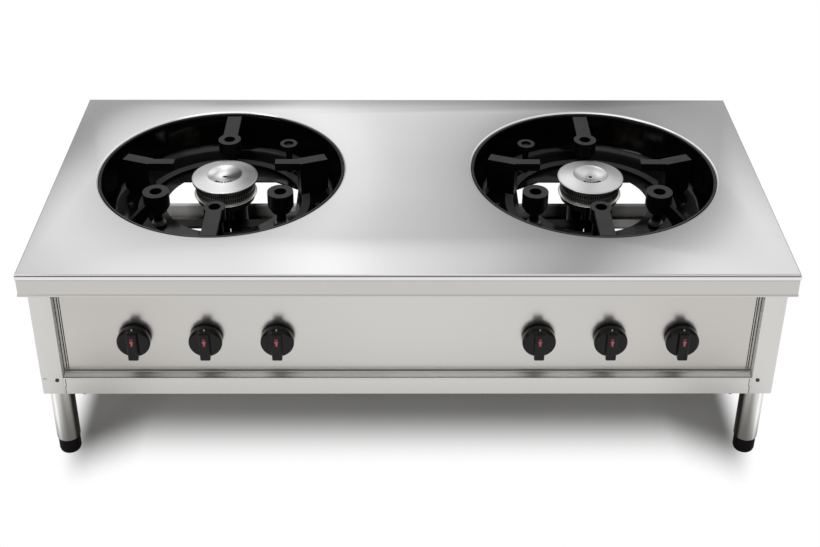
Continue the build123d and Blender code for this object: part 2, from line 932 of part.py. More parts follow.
# Gas manifold: a pipe behind the panel, round to the rear inlet, with a boss for each valve
with BuildPart() as gas_manifold:
    run = ((pipe_start_x, pipe_y, pipe_z), (pipe_end_x, pipe_y, pipe_z), (pipe_end_x, pipe_end_y, pipe_z))
    add(pipe(run, pipe_bend, pipe_radius))
    for x in knob_xs:
        add(disc(x, pipe_y, pipe_z, inlet_top, boss_outer))
        add(disc(x, pipe_y, pipe_z, inlet_top, inlet_radius + running_gap), mode=Mode.SUBTRACT)
    for reach in (-bracket_far_x, -bracket_x, bracket_x, bracket_far_x):
        x_range = (reach - bracket_width / 2, reach + bracket_width / 2)
        add(block(x_range, (pipe_y - bracket_sheet / 2, pipe_y + bracket_sheet / 2),
                  (plate_bottom, pipe_z - pipe_radius / 2)))
        add(block(x_range, (pipe_y + bracket_sheet / 2, -post_y + 2 * frame_sheet),
                  (plate_bottom, plate_bottom + bracket_sheet)))
    thread_start = pipe_end_y - thread_length
    add(rod(pipe_end_x, pipe_z, thread_start, pipe_end_y, 2 * pipe_radius), mode=Mode.SUBTRACT)
    add(rod(pipe_end_x, pipe_z, thread_start, pipe_end_y, thread_radius))
    add(rod(pipe_end_x, pipe_z, thread_start, pipe_end_y, pipe_bore), mode=Mode.SUBTRACT)
    add(bolt_holes(bracket_bolts, plate_bottom, plate_bottom + bracket_sheet), mode=Mode.SUBTRACT)
gas_manifold.part.label = "gas_manifold"
export_step(gas_manifold.part, "parts/gas_manifold.step")


# Tapered plug or its bore along Y: wide at the front, narrow at the back
def taper(x, front, back, front_radius, back_radius):
    return turned(
        Plane((x, 0, valve_z), x_dir=(1, 0, 0), z_dir=(0, 0, 1)),
        ((0, front), (front_radius, front), (back_radius, back), (0, back)),
    )


# Gas valves: a turned body with a tapered bore, an inlet stub below and an outlet behind
with BuildPart() as gas_valves:
    for x in knob_xs:
        add(rod(x, valve_z, valve_front, valve_back, valve_radius))
        add(disc(x, pipe_y, pipe_z + boss_outer, valve_z, inlet_radius))
        add(rod(x, valve_z, valve_back, outlet_end, outlet_radius))
        socket_y = outlet_end - feed_depth
        add(rod(x, valve_z, socket_y, outlet_end, feed_radius + running_gap), mode=Mode.SUBTRACT)
        add(
            taper(x, plug_front, plug_back, plug_front_radius + running_gap, plug_back_radius + running_gap),
            mode=Mode.SUBTRACT,
        )
        add(
            rod(x, valve_z, valve_front, plug_front, plug_front_radius + running_gap),
            mode=Mode.SUBTRACT,
        )
gas_valves.part.label = "gas_valves"
export_step(gas_valves.part, "parts/gas_valves.step")

# Feed pipes: from each valve to its injector or pilot
outer_tube_x = burner_x + neck_x
inner_tube_x = burner_x - neck_x
pipe_start_y = outlet_end - feed_depth
pipe_finish_y = injector_front + feed_depth
with BuildPart() as feed_pipes:
    for name, sign in sides:
        for knob_x, tube_x in (
            (knob_first_x + knob_pitch, outer_tube_x),
            (knob_first_x, inner_tube_x),
        ):
            add(
                pipe(
                    (
                        (sign * knob_x, pipe_start_y, valve_z),
                        (sign * knob_x, feed_cross_y, valve_z),
                        (sign * tube_x, feed_cross_y, valve_z),
                        (sign * tube_x, pipe_finish_y, valve_z),
                    ),
                    feed_bend,
                    feed_radius,
                )
            )
        far_x = sign * (knob_first_x + 2 * knob_pitch)
        add(
            pipe(
                (
                    (far_x, pipe_start_y, valve_z),
                    (far_x, burner_y + pilot_y, valve_z),
                    (sign * burner_x, burner_y + pilot_y, valve_z),
                    (sign * burner_x, burner_y + pilot_y, pilot_bottom + feed_depth),
                ),
                pilot_bend,
                pilot_pipe,
            )
        )
feed_pipes.part.label = "feed_pipes"
export_step(feed_pipes.part, "parts/feed_pipes.step")

# Injectors: a hexagon body with a nose, in front of each mixing tube
with BuildPart() as injectors:
    for name, sign in sides:
        for x in (sign * outer_tube_x, sign * inner_tube_x):
            with BuildSketch(facing(x, injector_back, valve_z)):
                RegularPolygon(injector_radius, 6)
            extrude(amount=injector_back - injector_front)
            add(rod(x, valve_z, injector_back, nose_end, nose_radius))
            add(
                rod(x, valve_z, injector_front, pipe_finish_y, feed_radius + running_gap),
                mode=Mode.SUBTRACT,
            )
injectors.part.label = "injectors"
export_step(injectors.part, "parts/injectors.step")

# Knobs, spindles and plugs, one of each for every valve
spindle_front = knob_back - spindle_depth
spindle_back = plug_front + plug_socket - push_travel - 1
for index, x in enumerate(knob_xs, start=1):
    with BuildPart() as knob:
        with BuildSketch(facing(x, knob_back, valve_z)):
            Circle(knob_radius)
        extrude(amount=skirt_height)
        fillet(knob.faces().sort_by(Axis.Y)[0].edges(), skirt_round)
        with BuildSketch(facing(x, knob_back - skirt_height, valve_z)):
            Circle(knob_radius)
            Rectangle(grip_width, 2 * knob_radius, mode=Mode.INTERSECT)
        extrude(amount=grip_height, taper=3)
        fillet(knob.faces().sort_by(Axis.Y)[0].edges(), grip_round)
        add(rod(x, valve_z, knob_back - knob_recess_depth, knob_back, knob_recess), mode=Mode.SUBTRACT)
        add(rod(x, valve_z, spindle_front, knob_back, spindle_radius + running_gap), mode=Mode.SUBTRACT)
    knob.part.label = f"knob_{index}"
    export_step(knob.part, f"parts/knob_{index}.step")

    with BuildPart() as spindle:
        add(rod(x, valve_z, spindle_front, spindle_back, spindle_radius))
        chamfer(spindle.faces().sort_by(Axis.Y)[-1].edges(), 1)
    spindle.part.label = f"valve_spindle_{index}"
    export_step(spindle.part, f"parts/valve_spindle_{index}.step")

    with BuildPart() as plug:
        add(taper(x, plug_front, plug_back, plug_front_radius, plug_back_radius))
        add(
            rod(x, valve_z, plug_front, plug_front + plug_socket, spindle_radius + running_gap),
            mode=Mode.SUBTRACT,
        )
        add(disc(x, pipe_y, valve_z - plug_front_radius, valve_z, plug_port), mode=Mode.SUBTRACT)
    plug.part.label = f"valve_plug_{index}"
    export_step(plug.part, f"parts/valve_plug_{index}.step")

# Pan supports: one casting on the bowl floor with two arms, two stepped fins and a small rest
for side, sign in sides:
    with BuildPart() as support:
        with BuildSketch(radial_plan(sign, 0, bowl_floor_z)):
            Circle(base_outer)
            Circle(base_inner, mode=Mode.SUBTRACT)
        extrude(amount=base_height)
        for angle, boss in ((90, back_boss_radius), (-90, front_boss_radius)):
            with BuildSketch(radial_plan(sign, angle, rest_top - arm_height)):
                with Locations(((arm_inner + arm_outer) / 2, 0)):
                    Rectangle(arm_outer - arm_inner, arm_width)
            extrude(amount=arm_height)
            add(
                slab(
                    radial_side(sign, angle, in_well(sign, 0, 0)),
                    (
                        (arm_inner, bowl_floor_z),
                        (arm_web_outer, bowl_floor_z),
                        (arm_outer - arm_web, arm_tip_z),
                        (arm_outer - arm_web, rest_top - arm_height),
                        (arm_inner, rest_top - arm_height),
                    ),
                    arm_web,
                )
            )
            with BuildSketch(radial_plan(sign, angle, rest_top - boss_depth)):
                with Locations((arm_inner, 0)):
                    Circle(boss)
            extrude(amount=boss_depth)
            with BuildSketch(radial_plan(sign, angle, bowl_floor_z)):
                with Locations((arm_inner, 0)):
                    Circle(boss_stem)
            extrude(amount=rest_top - boss_depth - bowl_floor_z)
            with BuildSketch(radial_plan(sign, angle, rest_top - boss_depth)):
                with Locations((arm_inner, 0)):
                    Circle(boss_hole)
            extrude(amount=boss_depth, mode=Mode.SUBTRACT)
        for x_sign in (-1, 1):
            angle = 90 - x_sign * (90 - fin_angle)
            add(
                slab(
                    radial_side(sign, angle, in_well(sign, x_sign * fin_x, fin_y)),
                    (
                        (0, bowl_floor_z),
                        (fin_foot, bowl_floor_z),
                        (fin_length, bowl_floor_z + fin_heel),
                        (fin_length, rest_top),
                        (0, rest_top),
                    ),
                    fin_width,
                )
            )
            neck_start = in_well(sign, x_sign * fin_neck_x, fin_y - fin_neck / 2)
            neck_end = in_well(sign, x_sign * (fin_x + fin_neck / 2), fin_y + fin_neck / 2)
            add(block(*zip(neck_start, neck_end), (rest_top - fin_neck_height, rest_top)))
        with BuildSketch(radial_plan(sign, small_angle, bowl_floor_z)):
            with Locations(((base_outer + small_orbit) / 2, 0)):
                Rectangle(small_orbit - base_outer + 2 * lug_half, 2 * lug_half)
        extrude(amount=base_height)
        for radius, bottom, top in (
            (small_stem, bowl_floor_z, small_top),
            (small_radius, small_top - small_height, small_top),
        ):
            with BuildSketch(radial_plan(sign, small_angle, bottom)):
                with Locations((small_orbit, 0)):
                    Circle(radius)
            extrude(amount=top - bottom)
        with BuildSketch(radial_plan(sign, small_angle, small_top - small_hole_depth)):
            with Locations((small_orbit, 0)):
                Circle(small_hole)
        extrude(amount=small_hole_depth, mode=Mode.SUBTRACT)
        for angle in (-cup_angle, cup_angle - 180):
            with BuildSketch(radial_plan(sign, angle, bowl_floor_z)):
                with Locations((cup_orbit, 0)):
                    Circle(base_lug)
            extrude(amount=base_height)
            with BuildSketch(radial_plan(sign, angle, bowl_floor_z)):
                with Locations((cup_orbit, 0)):
                    Circle(stud_radius + running_gap)
            extrude(amount=base_height, mode=Mode.SUBTRACT)
    support.part.label = f"{side}_pan_support"
    export_step(support.part, f"parts/{side}_pan_support.step")

# Cup rests: two turned cups on studs, the outer one with a rib down to the floor
nut_top = support_floor + washer_height + nut_height
for side, sign in sides:
    with BuildPart() as cups:
        for angle in (-cup_angle, cup_angle - 180):
            centre = radial_plan(sign, angle, 0).from_local_coords((cup_orbit, 0))
            add(
                turned(
                    Plane(centre, x_dir=(1, 0, 0), z_dir=(0, -1, 0)),
                    (
                        (0, nut_top),
                        (cup_stem, nut_top),
                        (cup_stem, cup_stem_z),
                        (cup_waist, cup_waist_z),
                        (cup_radius, cup_shoulder_z),
                        (cup_radius, rest_top),
                        (cup_hole, rest_top),
                        (cup_hole, cup_hole_z),
                        (0, cup_hole_z),
                    ),
                )
            )
        add(
            slab(
                radial_side(sign, cup_angle - 180, in_well(sign, 0, 0)),
                (
                    (cup_orbit, rib_high_z),
                    (cup_orbit + cup_waist, rib_high_z),
                    (rib_outer, rib_low_z),
                    (rib_outer, bowl_floor_z),
                    (rib_outer - rib_width, bowl_floor_z),
                    (cup_orbit + cup_waist, rib_low_z),
                    (cup_orbit, rib_low_z),
                ),
                rib_width,
            )
        )
        for angle in (-cup_angle, cup_angle - 180):
            centre = radial_plan(sign, angle, 0).from_local_coords((cup_orbit, 0))
            add(disc(centre.X, centre.Y, cup_hole_z, rest_top, cup_hole), mode=Mode.SUBTRACT)
            add(disc(centre.X, centre.Y, nut_top, cup_hole_z, stud_radius + running_gap), mode=Mode.SUBTRACT)
    cups.part.label = f"{side}_support_cups"
    export_step(cups.part, f"parts/{side}_support_cups.step")

    with BuildPart() as studs:
        for angle in (-cup_angle, cup_angle - 180):
            centre = radial_plan(sign, angle, 0).from_local_coords((cup_orbit, 0))
            add(disc(centre.X, centre.Y, bowl_floor_z + 1, stud_top, stud_radius))
            add(disc(centre.X, centre.Y, support_floor, support_floor + washer_height, washer_radius))
            with BuildSketch(Plane((centre.X, centre.Y, support_floor + washer_height))):
                RegularPolygon(nut_radius, 6)
            extrude(amount=nut_height)
        fillet(studs.faces().sort_by(Axis.Z)[-1].edges(), 1)
    studs.part.label = f"{side}_support_studs"
    export_step(studs.part, f"parts/{side}_support_studs.step")

# Bolts: all M6, with nuts
with BuildPart() as frame_bolts:
    for x, y in flange_bolts:
        add(bolt(x, y, lip_bottom, bearer_top - bearer_sheet))
    for x, y in strap_bolts:
        add(bolt(x, y, bowl_floor_z, bowl_floor_z - bowl_wall - strap_sheet))
    for x, y in rail_bolts + side_bolts:
        add(bolt(x, y, plate_bottom + plate_sheet, body_bottom))
    for x, y in bracket_bolts:
        add(bolt(x, y, plate_bottom + bracket_sheet, body_bottom))
    for x, y in boss_bolts:
        with BuildSketch(Plane((x, y, strap_top - strap_sheet - bolt_head_height))):
            RegularPolygon(bolt_head_radius, 6)
        extrude(amount=bolt_head_height)
        add(disc(x, y, strap_top - strap_sheet, strap_top + tube_bore, bolt_radius))
frame_bolts.part.label = "frame_bolts"
export_step(frame_bolts.part, "parts/frame_bolts.step")

# Rivets that hold the rail tabs to the posts
with BuildPart() as rivets:
    for y_sign in (-1, 1):
        for x_sign in (-1, 1):
            outer = y_sign * post_y
            inner = y_sign * (post_y - frame_sheet - panel_sheet)
            head = outer + y_sign * rivet_head_height
            add(rod(x_sign * rivet_x, rivet_z, *sorted((outer, head)), rivet_head))
            add(rod(x_sign * rivet_x, rivet_z, *sorted((outer, inner)), rivet_radius))
            tail = inner - y_sign * rivet_head_height
            add(rod(x_sign * rivet_x, rivet_z, *sorted((inner, tail)), rivet_head))
rivets.part.label = "rivets"
export_step(rivets.part, "parts/rivets.step")
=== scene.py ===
# %% [markdown]
# A low gas range for biryani pots, dressed for a product picture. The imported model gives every
# steel part, knob and burner in its true place. All of it could be modelled again in Blender, but
# then the two models would drift apart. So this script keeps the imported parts, gives them their
# finishes, adds the fine pieces that a solid model leaves out, and sets up a plain studio.

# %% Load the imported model
import math

import bmesh
import bpy
from mathutils import Matrix, Vector


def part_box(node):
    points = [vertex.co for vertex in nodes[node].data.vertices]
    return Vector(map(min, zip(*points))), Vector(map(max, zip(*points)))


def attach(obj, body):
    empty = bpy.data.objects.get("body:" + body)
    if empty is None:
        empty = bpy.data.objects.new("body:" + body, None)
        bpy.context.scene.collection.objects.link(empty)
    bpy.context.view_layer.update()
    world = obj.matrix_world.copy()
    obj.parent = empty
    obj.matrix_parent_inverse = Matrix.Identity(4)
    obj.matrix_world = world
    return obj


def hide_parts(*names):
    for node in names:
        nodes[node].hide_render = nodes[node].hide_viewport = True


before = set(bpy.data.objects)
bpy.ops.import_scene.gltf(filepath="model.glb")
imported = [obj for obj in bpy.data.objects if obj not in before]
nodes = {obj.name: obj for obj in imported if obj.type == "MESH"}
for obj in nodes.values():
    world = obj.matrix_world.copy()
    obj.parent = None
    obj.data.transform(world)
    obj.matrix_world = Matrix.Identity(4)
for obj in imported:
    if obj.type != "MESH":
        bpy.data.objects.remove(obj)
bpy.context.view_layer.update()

# %% [markdown]
# Every finish on the range is one metal or one black coating, so every material starts as one
# Principled shader. Building each by hand would repeat the same lines. A helper sets the values
# that are the same all over on the shader itself and hands back the node tree. A second one adds
# grain. It reads Object coordinates, so the grain stays on the piece when the piece moves.

# %% Start a material
def finish(name, colour, metallic, roughness):
    material = bpy.data.materials.new(name)
    material.use_nodes = True
    shader = material.node_tree.nodes["Principled BSDF"]
    shader.inputs["Base Color"].default_value = (*colour, 1)
    shader.inputs["Metallic"].default_value = metallic
    shader.inputs["Roughness"].default_value = roughness
    return material, material.node_tree, shader


def grain(tree, scale, detail=3.0):
    """Noise on Object coordinates. The scale is one number, or one for each axis."""
    place = tree.nodes.new("ShaderNodeTexCoord")
    stretch = tree.nodes.new("ShaderNodeMapping")
    stretch.inputs["Scale"].default_value = (scale,) * 3 if isinstance(scale, float) else scale
    noise = tree.nodes.new("ShaderNodeTexNoise")
    noise.inputs["Scale"].default_value = 1.0
    noise.inputs["Detail"].default_value = detail
    tree.links.new(place.outputs["Object"], stretch.inputs["Vector"])
    tree.links.new(stretch.outputs["Vector"], noise.inputs["Vector"])
    return noise.outputs["Fac"]


def grey(value):
    return (value, value, value)


print("ready to start materials")

# %% [markdown]
# Noise gives numbers near one half, but a shader wants a roughness or the share of a mix. Each
# step from one to the other is a small node, a sum or a change of range. They could be drawn as a
# graph by hand. As functions they read from left to right and can be nested.

# %% Sums and ranges
def maths(tree, operation, first, second=0.0):
    """One sum on two values. Each is a number or the output of another node."""
    node = tree.nodes.new("ShaderNodeMath")
    node.operation = operation
    for socket, value in zip(node.inputs, (first, second)):
        if isinstance(value, (int, float)):
            socket.default_value = value
        else:
            tree.links.new(value, socket)
    return node.outputs["Value"]


def spread(tree, factor, low, high, start=0.3, end=0.7):
    """Turns the range from start to end into the range from low to high."""
    node = tree.nodes.new("ShaderNodeMapRange")
    limits = (("From Min", start), ("From Max", end), ("To Min", low), ("To Max", high))
    for socket, value in limits:
        node.inputs[socket].default_value = value
    tree.links.new(factor, node.inputs["Value"])
    return node.outputs["Result"]


print("ready to do sums")

# %% [markdown]
# On metal one colour runs into another, from wear and from painted light and shade, and a fine skin
# scatters the light. A picture of each would fix the size of both. A mix of two colours by any
# value, and a bump from any value, work at every size, and they are the last steps before the
# shader.

# %% Blends and bumps
# The Mix node has sockets for numbers, vectors and colours. These are the colours' places in it.
first_colour, second_colour, mixed_colour = 6, 7, 2


def blend(tree, amount, first, second):
    """Mixes two colours. Each is three numbers or the output of another node."""
    node = tree.nodes.new("ShaderNodeMix")
    node.data_type = "RGBA"
    tree.links.new(amount, node.inputs["Factor"])
    for place, colour in ((first_colour, first), (second_colour, second)):
        if isinstance(colour, (tuple, list)):
            node.inputs[place].default_value = (*colour, 1)
        else:
            tree.links.new(colour, node.inputs[place])
    return node.outputs[mixed_colour]


def shade(tree, factor, dark, light):
    """Turns a noise value into a blend of two colours."""
    return blend(tree, spread(tree, factor, 0.0, 1.0), dark, light)


def bump(tree, shader, height, strength, distance):
    node = tree.nodes.new("ShaderNodeBump")
    node.inputs["Strength"].default_value = strength
    node.inputs["Distance"].default_value = distance
    tree.links.new(height, node.inputs["Height"])
    tree.links.new(node.outputs["Normal"], shader.inputs["Normal"])


def wire(tree, value, shader, socket="Base Color"):
    """Feeds a value into the shader, where it takes over from the number set at the start."""
    tree.links.new(value, shader.inputs[socket])


print("ready to wire materials")

# %% [markdown]
# Tones on the range change by where a surface is and which way it faces. Some are wear, and most
# here are painted light and shade. Painting that by hand needs a picture for each piece. Two facts
# that every surface point knows can stand in for it: its place on the piece and the direction of its
# normal. Neither changes with the camera.

# %% Place and direction on a piece
def along_axis(tree, axis):
    """The place on the piece along X, Y or Z, in metres."""
    place = tree.nodes.new("ShaderNodeTexCoord")
    split = tree.nodes.new("ShaderNodeSeparateXYZ")
    tree.links.new(place.outputs["Object"], split.inputs["Vector"])
    return split.outputs[axis]


def normal_along(tree, axis):
    """From minus one to one: how far the surface faces along X, Y or Z."""
    surface = tree.nodes.new("ShaderNodeNewGeometry")
    split = tree.nodes.new("ShaderNodeSeparateXYZ")
    tree.links.new(surface.outputs["Normal"], split.inputs["Vector"])
    return split.outputs[axis]


def facing(tree, axis, start, end):
    """Nought to one, as the surface turns to face along an axis."""
    return spread(tree, normal_along(tree, axis), 0.0, 1.0, start, end)


print("ready to read places and directions")

# %% [markdown]
# Stainless sheet is brushed in one direction at the mill. It shows as hair-fine lines and, further
# away, as broad soft bands. A photo texture would repeat and blur close up. So two noises,
# stretched along the brushing, give both: the fine one drives roughness and a very small bump, and
# the broad one shifts the colour a little.

# %% Brushed steel
lengthways, upright = 0, 2


def brushed(name, colour, along, roughness, change=0.04):
    material, tree, shader = finish(name, colour, 1.0, roughness)
    fine, broad = [1500.0] * 3, [5.0] * 3
    fine[along], broad[along] = 9.0, 0.9
    lines = grain(tree, fine, 2.0)
    dark = [c * (1 - change) for c in colour]
    light = [min(c * (1 + change), 1.0) for c in colour]
    tone = shade(tree, grain(tree, broad, 2.0), dark, light)
    wire(tree, tone, shader)
    wire(tree, spread(tree, lines, roughness - 0.006, roughness + 0.008), shader, "Roughness")
    bump(tree, shader, lines, 0.008, 0.0001)
    return material, tree, shader, tone


print("brushing ready")

# %% [markdown]
# The worktop is the brightest sheet. Its front edge is folded down into an apron, which is given a
# darker colour than the top of the same sheet: painted shade. The fold has a groove and a line
# under its bead, where shade falls. Both could be cut as real grooves, but they are thinner than a
# pixel. Dark lines at their heights, only where the surface doesn't face up, are painted shade in
# both places. They look the same and leave the sheet alone. The heights are measured down from the
# top.

# %% Worktop steel
worktop_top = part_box("worktop")[1].z
apron_heights = (worktop_top - 0.0600, worktop_top - 0.0148)
groove_heights = (worktop_top - 0.0052, worktop_top - 0.0034)
bead_line_heights = (worktop_top - 0.0150, worktop_top - 0.0132)


def height_band(tree, low, high, soft=0.0004):
    """One between two heights on the piece, with soft ends."""
    height = along_axis(tree, "Z")
    rise = spread(tree, height, 0.0, 1.0, low - soft, low + soft)
    fall = spread(tree, height, 1.0, 0.0, high - soft, high + soft)
    return maths(tree, "MULTIPLY", rise, fall)


top_steel, tree, shader, tone = brushed("top_steel", grey(0.78), lengthways, 0.13, 0.02)
# The apron's darker colour is painted shade, and so are the dark lines of the fold.
apron_shade = blend(tree, height_band(tree, *apron_heights), tone, (0.56, 0.545, 0.525))
groove, bead_line = height_band(tree, *groove_heights), height_band(tree, *bead_line_heights)
painted_fold_lines = maths(tree, "ADD", groove, bead_line)
painted_fold_shade = maths(tree, "MULTIPLY", painted_fold_lines, facing(tree, "Z", 0.9, 0.6))
wire(tree, blend(tree, painted_fold_shade, apron_shade, (0.13, 0.125, 0.12)), shader)
print("worktop steel made, top at", round(worktop_top, 4))

# %% [markdown]
# The panels are duller than the top, and a painted sheen makes them a little lighter toward the
# middle of the range. The posts are brushed upright. Their narrow returned sides catch light from
# all round, so they are rougher and painted lighter, as a painted highlight. Those faces could be
# given a second material one by one. How far the normal points along X picks them out by itself,
# also after the sheet is changed.

# %% Panel and post steel
body_steel, tree, shader, tone = brushed("body_steel", (0.575, 0.555, 0.53), lengthways, 0.28)
# Lighter toward the middle of the range: a painted sheen.
middle = spread(tree, maths(tree, "ABSOLUTE", along_axis(tree, "X")), 1.0, 0.0, 0.05, 0.55)
wire(tree, blend(tree, middle, tone, (0.64, 0.63, 0.605)), shader)

post_steel, tree, shader, tone = brushed("post_steel", (0.65, 0.64, 0.62), upright, 0.26)
sideways = maths(tree, "ABSOLUTE", normal_along(tree, "X"))
wire(tree, spread(tree, sideways, 0.26, 0.7, 0.6, 0.9), shader, "Roughness")
# The returned sides' light colour is a painted highlight.
returned = spread(tree, sideways, 0.0, 1.0, 0.8, 0.95)
wire(tree, blend(tree, returned, tone, (1.0, 0.99, 0.97)), shader)
print("panel and post steel made")

# %% [markdown]
# The leg tubes are polished. In the studio each shows a light stripe toward its outer side, from a
# softbox, and is dark where it faces the shadow under the body. Lamps placed just for the legs would
# light the panels too. So both tones are painted by the direction away from the middle of the range:
# the stripe is a painted reflection of the softbox, and the dark side is painted shade.

# %% Tube steel
tube_steel, tree, shader, tone = brushed("tube_steel", (0.66, 0.645, 0.62), upright, 0.12)
own_side = maths(tree, "SIGN", along_axis(tree, "X"))
outward = maths(tree, "MULTIPLY", normal_along(tree, "X"), own_side)
# A painted reflection of a softbox as a light stripe, and painted shade on the inner side.
stripe_start = spread(tree, outward, 0.0, 1.0, 0.28, 0.46)
stripe_end = spread(tree, outward, 1.0, 0.0, 0.52, 0.72)
stripe = maths(tree, "MULTIPLY", stripe_start, stripe_end)
painted_inner_shade = spread(tree, outward, 1.0, 0.0, -0.86, -0.68)
painted_striped = blend(tree, stripe, tone, (0.97, 0.97, 0.96))
wire(tree, blend(tree, painted_inner_shade, painted_striped, (0.05, 0.048, 0.045)), shader)
print("tube steel made")

# %% [markdown]
# The front bottom rail is polished on top, where the ledge mirrors the knobs, and its top is also
# painted lighter, a painted highlight. The rear one shows through the wells: inside it has painted
# shade behind the burners, painted light beside them, and a painted light line along its foot. Small
# lamps inside the body could do this, but they would light the bowls too. So each rail has one
# material, and the direction a surface faces tells its sides apart.

# %% Rail steels
front_rail_steel, tree, shader, tone = brushed(
    "front_rail_steel", (0.70, 0.685, 0.66), lengthways, 0.28)
# The lighter colour on top is a painted highlight. The lower roughness is real polish.
ledge_side = facing(tree, "Z", 0.5, 0.9)
wire(tree, spread(tree, ledge_side, 0.27, 0.16, 0.0, 1.0), shader, "Roughness")
wire(tree, blend(tree, ledge_side, tone, (0.93, 0.92, 0.90)), shader)

rear_rail_steel, tree, shader, tone = brushed(
    "rear_rail_steel", (0.60, 0.585, 0.56), lengthways, 0.28)
# Painted shade behind the burners, painted light beside them and a painted light line at the foot.
burner_line = 0.42
from_middle = maths(tree, "ABSOLUTE", along_axis(tree, "X"))
from_burner = maths(tree, "ABSOLUTE", maths(tree, "SUBTRACT", from_middle, burner_line))
beside_burner = spread(tree, from_burner, 0.0, 1.0, 0.05, 0.12)
right_half = spread(tree, along_axis(tree, "X"), 0.0, 1.0, -0.1, 0.1)
painted_side_light = blend(tree, right_half, (0.95, 0.94, 0.92), (0.38, 0.375, 0.37))
inside = blend(tree, beside_burner, grey(0.02), painted_side_light)
foot = spread(tree, along_axis(tree, "Z"), 1.0, 0.0, 0.166, 0.169)
painted_inside_tones = blend(tree, foot, inside, (1.0, 0.99, 0.97))
outside = facing(tree, "Y", 0.5, 0.9)
wire(tree, spread(tree, outside, 0.75, 0.28, 0.0, 1.0), shader, "Roughness")
wire(tree, blend(tree, outside, painted_inside_tones, tone), shader)
print("rail steels made")

# %% [markdown]
# The bowls are steel under glossy black enamel, which flows a little before it sets and keeps soft
# waves. A flat black would look like a hole. A wide, weak bump gives the waves. A patchy grey on the
# level floor toward the front is a painted reflection of the sky.

# %% Black enamel
black = grey(0.0015)


def enamel(name):
    material, tree, shader = finish(name, black, 0.0, 0.12)
    cloud = grain(tree, 9.0, 4.0)
    wire(tree, spread(tree, cloud, 0.09, 0.18), shader, "Roughness")
    # A painted reflection of the sky on the level floor, lighter toward the front.
    near_front = spread(tree, along_axis(tree, "Y"), 1.0, 0.0, -0.16, -0.06)
    front_sheen = blend(tree, near_front, grey(0.003), grey(0.09))
    patchy = spread(tree, cloud, 0.5, 1.0)
    painted_floor_sheen = maths(tree, "MULTIPLY", facing(tree, "Z", 0.8, 1.0), patchy)
    wire(tree, blend(tree, painted_floor_sheen, black, front_sheen), shader)
    bump(tree, shader, grain(tree, 16.0, 1.0), 0.35, 0.006)
    shader.inputs["Specular IOR Level"].default_value = 0.35
    return material


black_enamel = enamel("black_enamel")
print("enamel made")

# %% [markdown]
# The pot rests and burner bodies are cast in sand. They have a fine rough skin, and their tops are
# painted a lighter grey, as painted light where it falls from above. Sculpting the skin would cost
# millions of faces, so a fine bump gives it, and the painted light goes only where a surface faces
# up.

# %% Castings
def casting(name, top, rough):
    material, tree, shader = finish(name, black, 0.0, rough)
    cloud = grain(tree, 14.0, 5.0)
    # The grey of the tops, set by the top argument, is painted light on faces that look up.
    lit_tops = blend(tree, spread(tree, cloud, 0.0, 1.0), grey(top * 0.8), grey(top * 1.2))
    wire(tree, blend(tree, facing(tree, "Z", 0.7, 0.95), black, lit_tops), shader)
    wire(tree, spread(tree, cloud, rough - 0.06, rough + 0.08), shader, "Roughness")
    shader.inputs["Specular IOR Level"].default_value = 0.14
    bump(tree, shader, grain(tree, 700.0, 2.0), 0.3, 0.0006)
    return material


cast_black = casting("cast_black", 0.05, 0.45)
burner_black = casting("burner_black", 0.006, 0.4)
print("castings made")

# %% [markdown]
# Pipes, valves, bolts, knobs and feet are small, with one plain coat each. Each coat could have its
# own nodes, but they differ only in colour, shine and the size of their cloudiness, so one helper
# makes them all. The straps under the burners are dark, all but the right end of the right one,
# which is lighter with a painted sheen, so they get two tones.

# %% Painted, plated and moulded parts
def plain(name, colour, metallic, rough, scale=40.0, shine=0.5):
    material, tree, shader = finish(name, colour, metallic, rough)
    cloud = grain(tree, scale, 4.0)
    wire(tree, shade(tree, cloud, [c * 0.85 for c in colour], colour), shader)
    wire(tree, spread(tree, cloud, rough - 0.05, rough + 0.05), shader, "Roughness")
    shader.inputs["Specular IOR Level"].default_value = shine
    bump(tree, shader, grain(tree, scale * 12, 2.0), 0.08, 0.0003)
    return material


black_paint = plain("black_paint", grey(0.006), 0.0, 0.45)
dark_zinc = plain("dark_zinc", grey(0.2), 1.0, 0.35)
zinc = plain("zinc", (0.62, 0.62, 0.6), 1.0, 0.3)
brass = plain("brass", (0.62, 0.45, 0.2), 1.0, 0.32)
pipe_alloy = plain("pipe_alloy", grey(0.66), 1.0, 0.35)
knob_black = plain("knob_black", grey(0.003), 0.0, 0.14, shine=0.22)
foot_black = plain("foot_black", grey(0.004), 0.0, 0.45, shine=0.25)
seam_dark = plain("seam_dark", (0.05, 0.048, 0.045), 0.0, 0.6)

strap_steel, tree, shader = finish("strap_steel", grey(0.05), 1.0, 0.36)
dark_strap_tone = shade(tree, grain(tree, 12.0, 4.0), (0.012, 0.012, 0.011), (0.035, 0.034, 0.031))
# The lighter right end of the right strap is a painted sheen.
painted_right_sheen = spread(tree, along_axis(tree, "X"), 0.0, 1.0, 0.42, 0.47)
wire(tree, blend(tree, painted_right_sheen, dark_strap_tone, (0.26, 0.25, 0.24)), shader)
print("painted, plated and moulded finishes made")

# %% [markdown]
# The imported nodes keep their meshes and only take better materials. Each could be named on a line
# of its own, but the node names already say what they are made of. So one list gives each material
# the words it goes with, and the first material with a word in the name wins.

